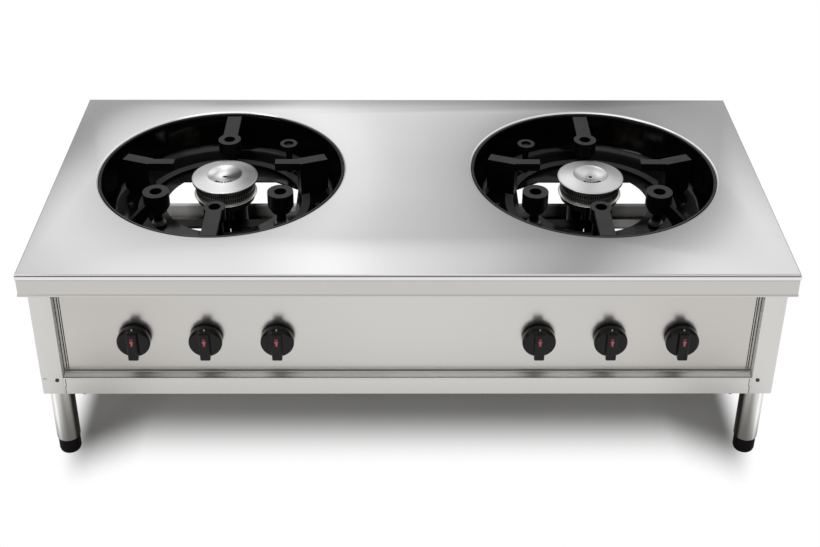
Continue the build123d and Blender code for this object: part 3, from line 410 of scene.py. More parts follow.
# %% Give every node its finish
node_finishes = (
    (top_steel, ("worktop",)),
    (tube_steel, ("leg_tubes",)),
    (post_steel, ("_post",)),
    (body_steel, ("front_panel", "side_panel")),
    (front_rail_steel, ("front_rail",)),
    (rear_rail_steel, ("rear_rail",)),
    (foot_black, ("_foot",)),
    (black_enamel, ("_bowl",)),
    (black_paint, ("bearers", "gas_manifold")),
    (strap_steel, ("strap",)),
    (burner_black, ("burner_body",)),
    (cast_black, ("pan_support", "support_cups")),
    (knob_black, ("knob",)),
    (brass, ("plug", "gas_valves", "injectors", "pilot_burners")),
    (pipe_alloy, ("feed_pipes",)),
    (zinc, ("burner_cap", "spindle", "shutter")),
    (dark_zinc, ("flame_ring", "studs", "bolts")),
    (seam_dark, ("rivets",)),
)
for name, node in nodes.items():
    material = next(m for m, words in node_finishes if any(word in name for word in words))
    node.data.materials.clear()
    node.data.materials.append(material)
print("finishes given to", len(nodes), "nodes")

# %% [markdown]
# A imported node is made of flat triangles. That is right for sheet, but it shows facets on anything
# round and shiny. More triangles would only make the facets smaller. For the round parts a copy is
# merged into one skin, its gentle edges are shaded smooth and its real edges stay sharp. The copy
# then stands for the node and rides on the same body.

# %% Smooth copies of the round parts
def place_piece(name, mesh, body, slot, *replaced):
    piece = bpy.data.objects.new(name, mesh)
    bpy.context.collection.objects.link(piece)
    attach(piece, body)
    if replaced:
        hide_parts(*replaced)


def soften(shape, sharp=math.radians(28)):
    """Shades a shape smooth, except across edges that turn by more than an angle."""
    for face in shape.faces:
        face.smooth = True
    for edge in shape.edges:
        edge.smooth = len(edge.link_faces) == 2 and edge.calc_face_angle(0.0) < sharp


def smooth_copy(node, body, slot):
    mesh = nodes[node].data.copy()
    mesh.name = node + "_skin"
    skin = bmesh.new()
    skin.from_mesh(mesh)
    bmesh.ops.remove_doubles(skin, verts=skin.verts, dist=0.00001)
    soften(skin)
    skin.to_mesh(mesh)
    skin.free()
    place_piece(node + "_skin", mesh, body, slot, node)


sides, ends = ("left", "right"), ("front", "rear")
smooth_copy("worktop", "range_frame", "brushed_top")
for end in ends:
    smooth_copy(end + "_leg_tubes", "range_frame", "polished_tube")
    for side in sides:
        smooth_copy(end + "_" + side + "_post", "range_frame", "brushed_body")
for side in sides:
    smooth_copy(side + "_bowl", "range_frame", "black_enamel")
    smooth_copy(side + "_burner_body", "range_frame", "cast_iron")
    smooth_copy(side + "_pan_support", side + "_pan_support", "cast_iron")
    smooth_copy(side + "_support_cups", side + "_pan_support", "cast_iron")
smooth_copy("feed_pipes", "range_frame", "feed_pipe")
smooth_copy("gas_manifold", "range_frame", "black_steel")
print("round parts smoothed")

# %% [markdown]
# Caps, rings, lips, knob skirts and feet are all turned or moulded round. Blender's Spin tool or a
# Screw modifier could make them. Here the outline is spun directly, as on a lathe, because then a
# UV map can be written along with it. Its U runs round the piece and its V along the outline, so
# turning marks and tones can follow them. A bigger piece gets more steps round, so that none shows
# corners.

# %% Spin an outline
well_steps, cap_steps, ring_steps, knob_steps, foot_steps = 240, 200, 160, 96, 72


def corner(radius, height, size, start, end, steps=6):
    """Points on a small arc that rounds a corner of an outline."""
    turns = [math.radians(start + (end - start) * step / steps) for step in range(steps + 1)]
    return [(radius + size * math.cos(turn), height + size * math.sin(turn)) for turn in turns]


def turned_shape(outline, steps_round):
    """A closed outline of radius and height in millimetres, spun round Z."""
    shape = bmesh.new()
    marks = shape.loops.layers.uv.new("turned")
    rings = []
    for radius, height in outline:
        turns = [2 * math.pi * step / steps_round for step in range(steps_round)]
        rings.append([shape.verts.new((radius * math.cos(turn) / 1000,
                                       radius * math.sin(turn) / 1000,
                                       height / 1000)) for turn in turns])
    for row, (low, high) in enumerate(zip(rings, rings[1:] + rings[:1])):
        for step in range(steps_round):
            after = (step + 1) % steps_round
            face = shape.faces.new((low[step], low[after], high[after], high[step]))
            corners = ((step, row), (step + 1, row), (step + 1, row + 1), (step, row + 1))
            for loop, (u, v) in zip(face.loops, corners):
                loop[marks].uv = (u / steps_round, v / len(outline))
    bmesh.ops.remove_doubles(shape, verts=shape.verts, dist=0.000001)
    bmesh.ops.recalc_face_normals(shape, faces=shape.faces)
    soften(shape)
    return shape


def place_spun(name, outline, centre, steps_round, material, body, slot, *replaced):
    """Spins an outline, puts it in its place and gives it one material."""
    mesh = bpy.data.meshes.new(name)
    shape = turned_shape(outline, steps_round)
    shape.to_mesh(mesh)
    shape.free()
    mesh.transform(Matrix.Translation((centre.x, centre.y, 0)))
    mesh.materials.append(material)
    place_piece(name, mesh, body, slot, *replaced)


print("ready to spin outlines")

# %% [markdown]
# Each well opening is finished with a rolled polished lip, and the black bowl shows its own rolled
# rim just inside it. At the back of the well the lip mirrors the sky and reads as a bright line. At
# the front it turns away and the black rim shows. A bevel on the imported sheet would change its
# mesh, so both are rings of their own, spun about the middle of the well.

# %% Lips and rims of the wells
def middle_of(node):
    low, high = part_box(node)
    return (low + high) / 2


wells = {side: middle_of(side + "_bowl") for side in sides}
polished_lip, tree, shader = finish("polished_lip", (0.96, 0.96, 0.955), 1.0, 0.1)
wire(tree, spread(tree, grain(tree, 30.0), 0.08, 0.16), shader, "Roughness")
lip_outline = corner(266.5, 484.97, 5, 90, 200, 14) + [(263.2, 482.9), (266.2, 483.2)]
rim_outline = corner(258.3, 485.6, 2.9, 0, 330, 11)
for side, well in wells.items():
    place_spun(side + "_opening_lip", lip_outline, well, well_steps,
               polished_lip, "range_frame", "brushed_top")
    place_spun(side + "_bowl_rim", rim_outline, well, well_steps,
               black_enamel, "range_frame", "black_enamel")
print("lips and rims made about", [tuple(round(v, 4) for v in well) for well in wells.values()])

# %% [markdown]
# The burner cap is turned aluminium, and its turning marks run round it. Rings cut into the mesh
# would be too fine to render. Light stretches across such marks, and the anisotropic setting
# imitates that along the U direction of the spun piece. The caps also darken toward their right
# side, each a little differently: a painted reflection of other parts of the studio. U, which runs
# once round, places that painted tone, and V tells the cone from the dish.

# %% Turned aluminium
# V where the dish begins, and where its own tone is full.
dish_start, dish_full = 0.60, 0.66


def turned_metal(name, light, cone_dark, dish_dark):
    """Turned metal, light on the left, with a painted dark reflection on the cone and in the dish.
    """
    material, tree, shader = finish(name, (0.74, 0.74, 0.73), 1.0, 0.22)
    shader.inputs["Anisotropic"].default_value = 0.6
    tangent = tree.nodes.new("ShaderNodeTangent")
    tangent.direction_type = "UV_MAP"
    tangent.uv_map = "turned"
    wire(tree, tangent.outputs["Tangent"], shader, "Tangent")
    lap = tree.nodes.new("ShaderNodeUVMap")
    lap.uv_map = "turned"
    split = tree.nodes.new("ShaderNodeSeparateXYZ")
    tree.links.new(lap.outputs["UV"], split.inputs["Vector"])
    turn = maths(tree, "MULTIPLY", split.outputs["X"], 2 * math.pi)
    # Darker toward the right side: a painted reflection.
    painted_right_shade = spread(tree, maths(tree, "COSINE", turn), 0.0, 1.0, 0.0, 0.95)
    in_dish = spread(tree, split.outputs["Y"], 0.0, 1.0, dish_start, dish_full)
    dark = blend(tree, in_dish, grey(cone_dark), grey(dish_dark))
    ringed = shade(tree, grain(tree, 900.0, 2.0), grey(0.94 * light), grey(light))
    wire(tree, blend(tree, painted_right_shade, ringed, dark), shader)
    return material


cap_metals = {"left": turned_metal("left_cap_alloy", 1.0, 0.40, 0.12),
              "right": turned_metal("right_cap_alloy", 0.76, 0.66, 0.80)}
print("cap metals made")

# %% [markdown]
# The cap is a low cone that rises to a round dish, with a small lighting hole in the middle. The
# packed cap is flat on top, so this piece stands for it. Cone, dish and hole could be pieces of
# their own, but the joins would show in the polish. So one outline has it all, from the underside
# round the edge, up the cone and down into the hole.

# %% Outline of a burner cap
burners = {side: middle_of(side + "_burner_cap") for side in sides}
cap_outline = (
    [(62, 469), (70.2, 469)]
    + corner(69.4, 473.6, 1.6, -60, 70, 6)
    + [(66, 475.9), (52, 478.6), (40, 480.9)]
    + corner(37.6, 480.2, 1.0, 60, 160, 5)
    + [(35, 479.6), (24, 475.6), (12, 473.8), (6.2, 473.6), (5.6, 473.9), (4.4, 473.9)]
    + [(4.0, 473.0), (3.8, 463.0), (62, 462)]
)
print("cap outline drawn, points", len(cap_outline))

# %% [markdown]
# Many details from here on are small blocks: slots, the marks of the knobs, seams. Adding a cube
# for each would leave dozens of objects to look after. These helpers make a block as a loose shape
# and put several shapes into one mesh, so that each detail of the range stays one piece.

# %% Blocks and joined shapes
def block(size, centre, edge=0.0, steps=1):
    """A box, with its edges rounded where an edge radius is given."""
    shape = bmesh.new()
    bmesh.ops.create_cube(shape, size=1.0)
    bmesh.ops.scale(shape, vec=size, verts=shape.verts)
    if edge:
        bmesh.ops.bevel(shape, geom=shape.edges[:], offset=edge, segments=steps, profile=0.5,
                        affect="EDGES")
    bmesh.ops.translate(shape, vec=centre, verts=shape.verts)
    for face in shape.faces:
        face.smooth = edge > 0
    return shape


def joined(name, parts):
    """Puts several small shapes with their materials into one mesh."""
    whole = bmesh.new()
    mesh = bpy.data.meshes.new(name)
    used = []
    for shape, material in parts:
        if material not in used:
            used.append(material)
            mesh.materials.append(material)
        for face in shape.faces:
            face.material_index = used.index(material)
        piece = bpy.data.meshes.new(name + "_part")
        shape.to_mesh(piece)
        shape.free()
        whole.from_mesh(piece)
        bpy.data.meshes.remove(piece)
    whole.to_mesh(mesh)
    whole.free()
    return mesh


print("ready to join blocks")

# %% [markdown]
# Six short slots are cut along the radius at the front of the dish, and the lighting hole is dark
# inside. Cutting them with a Boolean would break up the clean rings that the turning marks need. A
# thin black block in the place of each slot, leaning with the dish, looks the same from any side.
# The black of the blocks is painted shade, the shade inside the slots and the hole.

# %% Caps with their slots
# Black that stands for the shade inside the slots and the hole: painted shade.
slot_shade = plain("slot_shade", grey(0.003), 0.0, 0.5, shine=0.1)
slot_size, slot_place, slot_height = (0.0080, 0.0030, 0.0012), (0.0292, 0, 0), 0.4778
slot_lean = Matrix.Rotation(math.radians(-20), 3, "Y")
slot_count, first_slot, between_slots = 6, math.radians(-122), math.radians(13)
hole_size, hole_height = (0.0060, 0.0060, 0.0012), 0.4730


def slots_of(burner):
    slots = []
    for number in range(slot_count):
        slot = block(slot_size, slot_place)
        turn = Matrix.Rotation(first_slot + number * between_slots, 3, "Z")
        bmesh.ops.rotate(slot, matrix=slot_lean, cent=slot_place, verts=slot.verts)
        bmesh.ops.rotate(slot, matrix=turn, verts=slot.verts)
        bmesh.ops.translate(slot, vec=(burner.x, burner.y, slot_height), verts=slot.verts)
        slots.append((slot, slot_shade))
    hole_bottom = block(hole_size, (burner.x, burner.y, hole_height))
    return slots + [(hole_bottom, slot_shade)]


for side, burner in burners.items():
    place_spun(side + "_cap", cap_outline, burner, cap_steps, cap_metals[side],
               side + "_burner_cap", "polished_cap", side + "_burner_cap")
    cap_slots = joined(side + "_cap_slots", slots_of(burner))
    place_piece(side + "_cap_slots", cap_slots, side + "_burner_cap", "polished_cap")
    print(side, "cap turned, slot faces", len(cap_slots.polygons))

# %% [markdown]
# Under the cap sits the flame ring: a dark band with two fine rows of ports. The same small port
# repeats all round, which is work for Geometry Nodes: a circle of points, one small block on each,
# turned to face outwards, then made real and given its material. Copying blocks in a Python loop
# would do too, but here the count and sizes stay open as inputs of the node tree.

# %% A ring of blocks in Geometry Nodes
def ring_of_blocks(name, material):
    tree = bpy.data.node_groups.new(name, "GeometryNodeTree")
    tree.interface.new_socket("Geometry", in_out="OUTPUT", socket_type="NodeSocketGeometry")
    inputs = [
        tree.interface.new_socket(label, in_out="INPUT", socket_type="NodeSocket" + kind)
        for label, kind in (("Count", "Int"), ("Radius", "Float"), ("Size", "Vector"))
    ]
    start = tree.nodes.new("NodeGroupInput")
    circle = tree.nodes.new("GeometryNodeMeshCircle")
    cube = tree.nodes.new("GeometryNodeMeshCube")
    turn = tree.nodes.new("FunctionNodeAlignRotationToVector")
    turn.axis = "X"
    place = tree.nodes.new("GeometryNodeInputPosition")
    put = tree.nodes.new("GeometryNodeInstanceOnPoints")
    real = tree.nodes.new("GeometryNodeRealizeInstances")
    paint = tree.nodes.new("GeometryNodeSetMaterial")
    paint.inputs["Material"].default_value = material
    end = tree.nodes.new("NodeGroupOutput")
    for source, output, target, socket in (
        (start, "Count", circle, "Vertices"),
        (start, "Radius", circle, "Radius"),
        (start, "Size", cube, "Size"),
        (place, "Position", turn, "Vector"),
        (circle, "Mesh", put, "Points"),
        (cube, "Mesh", put, "Instance"),
        (turn, "Rotation", put, "Rotation"),
        (put, "Instances", real, "Geometry"),
        (real, "Geometry", paint, "Geometry"),
        (paint, "Geometry", end, "Geometry"),
    ):
        tree.links.new(source.outputs[output], target.inputs[socket])
    return tree, [socket.identifier for socket in inputs]


# Black that stands for the shade inside each port: painted shade.
port_shade = plain("port_shade", grey(0.004), 0.0, 0.6)
port_tree, port_inputs = ring_of_blocks("ring_of_blocks", port_shade)
print("ring of blocks made, nodes", len(port_tree.nodes))

# %% [markdown]
# A node tree needs an object to run on. Leaving the modifier live would work, but a plain mesh is
# simpler to move and to hand on. So a helper runs the tree on an empty carrier, keeps the mesh it
# grows and takes the carrier away.

# %% Run a node tree
def grown(name, tree, values, centre):
    """Runs a node tree on an empty mesh and hands back the result as a plain mesh."""
    carrier = bpy.data.objects.new(name + "_carrier", bpy.data.meshes.new(name + "_carrier"))
    bpy.context.collection.objects.link(carrier)
    modifier = carrier.modifiers.new(name, "NODES")
    modifier.node_group = tree
    for identifier, value in values:
        modifier[identifier] = value
    bpy.context.view_layer.update()
    result = carrier.evaluated_get(bpy.context.evaluated_depsgraph_get())
    mesh = bpy.data.meshes.new_from_object(result)
    mesh.name = name
    carrier.modifiers.remove(modifier)
    bpy.data.objects.remove(carrier)
    mesh.transform(Matrix.Translation(centre))
    return mesh


print("ready to grow meshes")

# %% [markdown]
# The band and the bright flange below it are turned. Two plain cylinders could stand for them, but
# the real band leans in a little toward the top and the flange has a round edge, so both are spun
# outlines. The ports stand a hair proud of the band, so that each one shows as a dark mark, which is
# painted shade for the inside of the port.

# %% Flame rings
band_steel = plain("band_steel", (0.42, 0.415, 0.40), 1.0, 0.4, scale=220.0)
flange_alloy = plain("flange_alloy", (0.75, 0.75, 0.74), 1.0, 0.22)
band_outline = [(56, 439.9), (63, 439.9), (63.2, 441), (62.6, 465), (62, 467.9), (56, 467.9)]
flange_outline = [(56, 436.2)] + corner(66.4, 437.4, 1.1, -90, 90) + [(63.4, 439.8), (56, 439.8)]
port_count, port_ring_radius, port_size = 84, 0.0629, (0.0010, 0.0026, 0.0085)
port_values = list(zip(port_inputs, (port_count, port_ring_radius, port_size)))
port_heights = (0.4475, 0.4590)
for side, burner in burners.items():
    place_spun(side + "_flame_band", band_outline, burner, ring_steps,
               band_steel, "range_frame", "turned_steel", side + "_flame_ring")
    place_spun(side + "_flame_flange", flange_outline, burner, ring_steps,
               flange_alloy, "range_frame", "turned_steel")
    for row, height in enumerate(port_heights, 1):
        name = side + "_ports_" + str(row)
        ports = grown(name, port_tree, port_values, (burner.x, burner.y, height))
        place_piece(name, ports, "range_frame", "turned_steel")
        print(name, "faces", len(ports.polygons))

# %% [markdown]
# A knob is a round moulded skirt with a bar across it to grip. The skirt is spun and tilted to face
# the front, and the bar is a block with its long edges rounded by a bevel. A small red patch with a
# pale tick on the bar shows which way it points, and a small white dot sits on top of the skirt.
# They could be painted as a picture, but thin blocks stay sharp at any size.

# %% Knobs
mark_red = plain("mark_red", (0.36, 0.008, 0.02), 0.0, 0.35)
mark_pale = plain("mark_pale", (0.75, 0.45, 0.48), 0.0, 0.4)
white_dot = plain("white_dot", grey(0.85), 0.0, 0.3)
to_front = Matrix.Rotation(math.radians(90), 4, "X")
skirt_outline = (
    [(12, 0), (33, 0), (33.4, 1.5)]
    + corner(27.5, 11, 6, 0, 90, 8)
    + [(12, 17.2), (0.001, 17.2), (0.001, 5), (12, 5)]
)
bar_front = -0.02895
# Each block: size, place from the middle of the knob's back, edge radius, edge steps, material.
knob_blocks = (
    ((0.0205, 0.0135, 0.0655), (0, -0.0222, 0), 0.0028, 3, knob_black),
    ((0.0056, 0.0006, 0.019), (0, bar_front, 0.0125), 0.0, 1, mark_red),
    ((0.0014, 0.0008, 0.0085), (0.0003, bar_front, 0.0105), 0.0, 1, mark_pale),
    ((0.0075, 0.0008, 0.0014), (0, bar_front, 0.0135), 0.0, 1, mark_pale),
    ((0.0030, 0.0026, 0.0056), (0, -0.0145, 0.0316), 0.001, 2, white_dot),
)
knob_count = 6
for number in range(1, knob_count + 1):
    node = "knob_" + str(number)
    low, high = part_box(node)
    back = Vector(((low.x + high.x) / 2, high.y, (low.z + high.z) / 2))
    skirt = turned_shape(skirt_outline, knob_steps)
    bmesh.ops.transform(skirt, matrix=Matrix.Translation(back) @ to_front, verts=skirt.verts)
    parts = [(skirt, knob_black)]
    for size, place, edge, steps, material in knob_blocks:
        parts.append((block(size, back + Vector(place), edge, steps), material))
    place_piece(node + "_moulding", joined(node + "_moulding", parts), node, "black_knob", node)
    print(node, "moulded at x", round(back.x, 4))

# %% [markdown]
# The feet are black plastic with fine ribs round them, so that they can be turned by hand. A bump
# would not show at the outer edge of the foot, so the ribs are written into the outline itself. The
# thin stem above the foot is its screw, which shows when the foot is turned out.

# %% Feet
rib_count, first_rib, rib_pitch = 9, 6.5, 3.1
between_ribs, rib_radius = 21.3, 22.4
foot_top, screw_radius, screw_top = 35.5, 8, 96
foot_outline = [(0.001, 0.0), (17, 0.0)] + corner(17, 4.5, 4.5, -80, 0, 5)
for rib in range(rib_count):
    low = first_rib + rib * rib_pitch
    foot_outline += [(between_ribs, low), (rib_radius, low + 0.7),
                     (rib_radius, low + 1.9), (between_ribs, low + 2.5)]
foot_outline += [(between_ribs, foot_top), (12, foot_top), (screw_radius, foot_top),
                 (screw_radius, screw_top), (0.001, screw_top)]
for end in ends:
    for side in sides:
        node = end + "_" + side + "_foot"
        place_spun(node + "_ribbed", foot_outline, middle_of(node), foot_steps,
                   foot_black, node, "black_foot", node)
print("four feet made, outline points", len(foot_outline))

# %% [markdown]
# Thin dark lines show where one folded sheet meets the next: down the panel beside each front post,
# where the bottom rail butts against the post, and in the two creases of the ledge. They are the
# shadow gaps between sheets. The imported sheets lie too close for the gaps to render, so fine dark
# strips stand for them, a tenth of a millimetre proud of the steel.

# %% Seams
panel_low, post_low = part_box("front_panel")[0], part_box("front_left_post")[0]
rail_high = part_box("front_rail")[1]
post_face, rail_upstand, ledge_inset, proud = 0.044, 0.004, 0.032, 0.0001
post_front = post_low.y
post_edge = -post_low.x - post_face
ledge_top = rail_high.z - rail_upstand
rail_half = rail_high.x - ledge_inset
panel_seam_height, panel_seam_length = 0.327, 0.2

strips = []
for sign in (-1, 1):
    # Down the panel: how far inside the post's edge, and how wide.
    for inset, wide in ((0.0008, 0.0013), (0.0064, 0.0024), (0.0103, 0.0019)):
        place = (sign * (post_edge - inset), panel_low.y - proud, panel_seam_height)
        strips.append(block((wide, 0.0004, panel_seam_length), place))
    # Down the end of the rail: from which height to which, and how far outside the post's edge.
    for low, high, outside in ((0.1785, 0.197, -0.0032), (0.196, 0.2168, -0.0050)):
        place = (sign * (post_edge + outside), post_front + proud, (low + high) / 2)
        strips.append(block((0.0013, 0.0006, high - low), place))
# A short level seam on the left post, then the two creases of the ledge.
strips.append(block((0.0075, 0.0004, 0.0013), (-0.7311, post_front + proud, 0.2157)))
for depth, height, tall in ((0.0174, 0.0062, 0.0008), (0.0014, 0.0008, 0.0006)):
    place = (0, post_front + depth, ledge_top + height)
    strips.append(block((2 * rail_half, 0.0009, tall), place))
seams = joined("sheet_seams", [(strip, seam_dark) for strip in strips])
place_piece("sheet_seams", seams, "range_frame", "brushed_body")
print("seams made", len(strips))

# %% [markdown]
# The ledge on the bottom rail is rolled, so it mirrors the knobs as short dark streaks. A curve
# with a profile could make it, and so could a Screw modifier. It is one outline of depth and height
# drawn out along the range, and a list of points is the plainest way to say that.

# %% Rolled ledge
def drawn_out(name, outline, half):
    """An outline of depth and height, drawn out along X to both sides."""
    shape = bmesh.new()
    ends = [[shape.verts.new((x, y, z)) for y, z in outline] for x in (-half, half)]
    for step in range(len(outline)):
        after = (step + 1) % len(outline)
        shape.faces.new((ends[0][step], ends[0][after], ends[1][after], ends[1][step]))
    shape.faces.new(ends[0])
    shape.faces.new(ends[1])
    bmesh.ops.recalc_face_normals(shape, faces=shape.faces)
    soften(shape, math.radians(40))
    mesh = bpy.data.meshes.new(name)
    shape.to_mesh(mesh)
    shape.free()
    return mesh


# Millimetres behind the front of the posts, and above the top of the ledge.
ledge_profile = [
    (16.2, 5.0), (15.4, 5.8), (14.2, 6.2), (13.0, 6.0), (11.4, 5.4), (9, 4.2), (6, 2.6),
    (3.4, 1.3), (1.8, 0.6), (0.9, 0.6), (0.1, 0.3), (-0.4, -0.3), (-0.5, -1.4), (-0.1, -2.2),
    (0.5, -2.2), (0.5, -0.4), (16.2, -0.4),
]
ledge_steel = plain("ledge_steel", (0.86, 0.85, 0.83), 1.0, 0.30, scale=3.0)
ledge_outline = [(post_front + y / 1000, ledge_top + z / 1000) for y, z in ledge_profile]
ledge = drawn_out("ledge_roll", ledge_outline, rail_half)
ledge.materials.append(ledge_steel)
place_piece("ledge_roll", ledge, "range_frame", "brushed_body")
print("ledge rolled, length", round(2 * rail_half, 4))

# %% [markdown]
# The range stands on a white studio floor. A real white floor never renders quite white, and its
# far edge would show. So away from the range the floor gives plain white to the eye and to
# reflections, and near the body it stays a real floor, which keeps the soft shadow. A painted mask
# could say which is which. The distance from a rectangle under the body needs no picture.

# %% Distance from the body
shadow_half_length, past_end_weight = 0.68, 3.0


def smooth_rise(tree, value, start, end):
    node = tree.nodes.new("ShaderNodeMapRange")
    node.interpolation_type = "SMOOTHSTEP"
    node.inputs["From Min"].default_value = start
    node.inputs["From Max"].default_value = end
    tree.links.new(value, node.inputs["Value"])
    return node.outputs["Result"]


def distance_from_body(tree, from_middle):
    """Distance from the shadow's rectangle, which is a little deeper near its ends."""
    past_end = maths(tree, "SUBTRACT", from_middle, shadow_half_length)
    past_end = maths(tree, "MULTIPLY", maths(tree, "MAXIMUM", past_end, 0.0), past_end_weight)
    half_depth = spread(tree, from_middle, 0.17, 0.235, 0.56, 0.67)
    depth = maths(tree, "ABSOLUTE", along_axis(tree, "Y"))
    past_front = maths(tree, "MAXIMUM", maths(tree, "SUBTRACT", depth, half_depth), 0.0)
    squares = [maths(tree, "POWER", past, 2.0) for past in (past_end, past_front)]
    return maths(tree, "SQRT", maths(tree, "ADD", *squares))


print("ready to measure from the body")

# %% [markdown]
# Near the body the floor is plain and matt, and a painted shadow makes it greyer under the two ends.
# Further off there is only white light. Two floors side by side would show a join, so one Mix Shader
# goes from one to the other. The Light Path node tells it whether the eye or polished metal is
# looking, because a mirror image of the floor needs a wider fade.

# %% Floor
def mix_to_output(tree, kind, amount, first, second):
    """Mixes two shaders and sends them to the output of a material or a world."""
    mixed = tree.nodes.new("ShaderNodeMixShader")
    out = tree.nodes.new("ShaderNodeOutput" + kind)
    tree.links.new(amount, mixed.inputs["Fac"])
    tree.links.new(first, mixed.inputs[1])
    tree.links.new(second, mixed.inputs[2])
    tree.links.new(mixed.outputs["Shader"], out.inputs["Surface"])


def floor_material():
    material = bpy.data.materials.new("studio_floor")
    material.use_nodes = True
    tree = material.node_tree
    tree.nodes.clear()
    real = tree.nodes.new("ShaderNodeBsdfDiffuse")
    white = tree.nodes.new("ShaderNodeEmission")
    from_middle = maths(tree, "ABSOLUTE", along_axis(tree, "X"))
    # Greyer under the two ends: a painted shadow.
    painted_end_shadow = spread(tree, from_middle, 0.0, 1.0, 0.52, 0.68)
    wire(tree, blend(tree, painted_end_shadow, (0.76, 0.755, 0.74), (0.42, 0.417, 0.41)), real, "Color")
    far = distance_from_body(tree, from_middle)
    path = tree.nodes.new("ShaderNodeLightPath")
    to_eye = maths(tree, "MULTIPLY", smooth_rise(tree, far, 0.0, 0.185),
                   path.outputs["Is Camera Ray"])
    to_metal = maths(tree, "MULTIPLY", smooth_rise(tree, far, 0.12, 0.55),
                     path.outputs["Is Glossy Ray"])
    mix_to_output(tree, "Material", maths(tree, "ADD", to_eye, to_metal),
                  real.outputs["BSDF"], white.outputs["Emission"])
    return material


reach = 30.0
floor_mesh = bpy.data.meshes.new("floor")
floor_corners = [(-reach, -reach, 0), (reach, -reach, 0), (reach, reach, 0), (-reach, reach, 0)]
floor_mesh.from_pydata(floor_corners, [], [(0, 1, 2, 3)])
floor_mesh.materials.append(floor_material())
floor = bpy.data.objects.new("floor", floor_mesh)
bpy.context.collection.objects.link(floor)
print("floor laid, metres across", 2 * reach)

# %% [markdown]
# Metal shows what is around it, so the sky does most of the work. A picture of a real studio would
# be a file to load. Two ramps of grey are enough, one by height and one across the back, with two
# darker ovals in it, as soft boxes and flags leave on a real shoot.

# %% Ramps and ovals of grey
def stops(tree, value, places):
    """A curve through a few places, as a ramp of greys from nought to two."""
    ramp = tree.nodes.new("ShaderNodeValToRGB")
    ramp.color_ramp.interpolation = "EASE"
    elements = ramp.color_ramp.elements
    elements.remove(elements[1])
    elements[0].position = places[0][0]
    for where, strength in places[1:]:
        elements.new(where)
    for element, (where, strength) in zip(elements, places):
        element.color = (*grey(strength / 2), 1)
    tree.links.new(value, ramp.inputs["Fac"])
    return maths(tree, "MULTIPLY", ramp.outputs["Color"], 2.0)


def dark_spot(tree, across, middle, wide, up, height, tall):
    """One in the middle of a soft oval on the sky, falling to nought at its edge."""
    sides = ((across, middle, wide), (up, height, tall))
    squares = [maths(tree, "POWER", maths(tree, "DIVIDE", maths(tree, "SUBTRACT", *side[:2]),
                                          side[2]), 2.0) for side in sides]
    return smooth_rise(tree, maths(tree, "ADD", *squares), 1.0, 0.0)


print("ready to paint the sky")

# %% [markdown]
# The sky is dimmer near the horizon, brightest at half height and softer overhead, which makes the
# worktop darker at the back. Behind the range it has a broad light band a little to the left and a
# darker one to the right, and the brushed top repeats them as wide soft stripes. Large cards of
# grey round the range could do the same, but the floor would show their shadows.

# %% How bright the sky is
by_height = ((0.0, 0.42), (0.42, 0.46), (0.47, 0.60), (0.50, 0.78), (0.54, 0.96), (0.58, 1.0),
             (0.76, 0.95), (1.0, 0.66))
by_width = ((0.10, 0.98), (0.22, 1.28), (0.33, 1.25), (0.42, 1.62), (0.50, 1.20), (0.57, 1.0),
            (0.63, 0.70), (0.68, 0.46), (0.73, 0.80), (0.80, 1.27), (1.0, 1.1))
# Each dark oval: middle and half width across, then middle and half height.
ovals = ((0.365, 0.055, 0.455, 0.028), (0.21, 0.09, 0.45, 0.035))


def sky_strength(tree, x, y, z):
    """How bright the sky is in a direction."""
    width = maths(tree, "ADD", maths(tree, "DIVIDE", x, maths(tree, "MAXIMUM", y, 0.001)), 0.5)
    spots = maths(tree, "ADD", *[dark_spot(tree, width, middle, wide, z, height, tall)
                                 for middle, wide, height, tall in ovals])
    back = maths(tree, "MULTIPLY", stops(tree, width, by_width),
                 spread(tree, spots, 1.0, 0.55, 0.0, 1.0))
    behind = spread(tree, y, 0.0, 1.0, 0.3, 0.6)
    level = maths(tree, "ADD", maths(tree, "MULTIPLY", back, behind),
                  maths(tree, "SUBTRACT", 1.0, behind))
    beside = spread(tree, maths(tree, "ABSOLUTE", x), 1.0, 0.55, 0.5, 0.85)
    return maths(tree, "MULTIPLY", stops(tree, z, by_height),
                 maths(tree, "MULTIPLY", level, beside))


print("sky planned, steps by height", len(by_height), "and by width", len(by_width))

# %% [markdown]
# A product picture has a pure white backdrop, but a sky with greys in it would show as greys. A
# white card behind the range would block its light. The Light Path node solves it: the eye sees
# plain white, and everything else is lit by the sky.

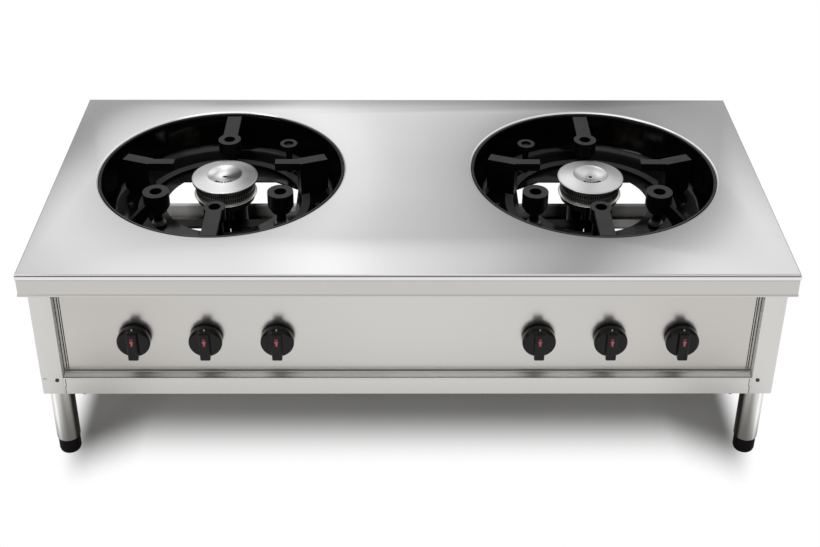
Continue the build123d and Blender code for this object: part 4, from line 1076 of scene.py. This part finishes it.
# %% Sky
world = bpy.data.worlds.new("studio_sky")
bpy.context.scene.world = world
world.use_nodes = True
tree = world.node_tree
tree.nodes.clear()
studio_light = tree.nodes.new("ShaderNodeBackground")
plain_white = tree.nodes.new("ShaderNodeBackground")
plain_white.inputs["Color"].default_value = (1, 1, 1, 1)
path = tree.nodes.new("ShaderNodeLightPath")
direction = tree.nodes.new("ShaderNodeTexCoord")
split = tree.nodes.new("ShaderNodeSeparateXYZ")
tree.links.new(direction.outputs["Generated"], split.inputs["Vector"])
wire(tree, sky_strength(tree, *split.outputs), studio_light, "Strength")
mix_to_output(tree, "World", path.outputs["Is Camera Ray"],
              studio_light.outputs["Background"], plain_white.outputs["Background"])
print("sky set, nodes", len(tree.nodes))

# %% [markdown]
# The sky alone gives flat light with no direction. One bare lamp would throw hard shadows, so two
# large area lamps are used, as softboxes: one overhead for the glow on the black parts and the
# shadow under the body, and a second from the front left.

# %% Lamps
def softbox(name, place, aim, width, height, power):
    lamp = bpy.data.lights.new(name, "AREA")
    lamp.shape = "RECTANGLE"
    lamp.size, lamp.size_y = width, height
    lamp.energy = power
    holder = bpy.data.objects.new(name, lamp)
    holder.location = place
    holder.rotation_euler = (Vector(aim) - Vector(place)).to_track_quat("-Z", "Y").to_euler()
    bpy.context.collection.objects.link(holder)
    print(name, power, "watts")


softbox("overhead", place=(-0.3, -0.2, 3.0), aim=(0, 0, 0.4), width=3.0, height=1.6, power=9)
softbox("front_left", place=(-2.4, -2.4, 2.0), aim=(0, 0, 0.3), width=1.4, height=1.4, power=12)

# %% [markdown]
# The camera stands in front, a little under two metres up, and looks down at about 30 degrees. It
# could be aimed by eye, but the photograph fixes it: its place and lens were worked out from the
# corners of the top, the legs and the round openings. The picture is cut off-centre, and the shift
# puts that back without tilting the camera.

# %% Camera
film_width = 36
picture_wide, picture_middle = 820, 273.5
focal_pixels, sight_row = 1341.568, 150
pitch, yaw, roll = math.radians(29.709), math.radians(0.497), math.radians(0.298)
camera_place = (-0.017005, -2.454163, 1.958012)
camera_data = bpy.data.cameras.new("camera")
camera_data.sensor_width = film_width
camera_data.lens = focal_pixels * film_width / picture_wide
camera_data.shift_y = -(picture_middle - sight_row) / picture_wide
camera = bpy.data.objects.new("camera", camera_data)
aim = (Matrix.Rotation(-yaw, 4, "Z") @ Matrix.Rotation(math.pi / 2 - pitch, 4, "X")
       @ Matrix.Rotation(roll, 4, "Z"))
camera.matrix_world = Matrix.Translation(camera_place) @ aim
bpy.context.collection.objects.link(camera)
bpy.context.scene.camera = camera
bpy.context.scene.view_settings.view_transform = "Standard"
print("camera set, lens", round(camera_data.lens, 2), "mm")
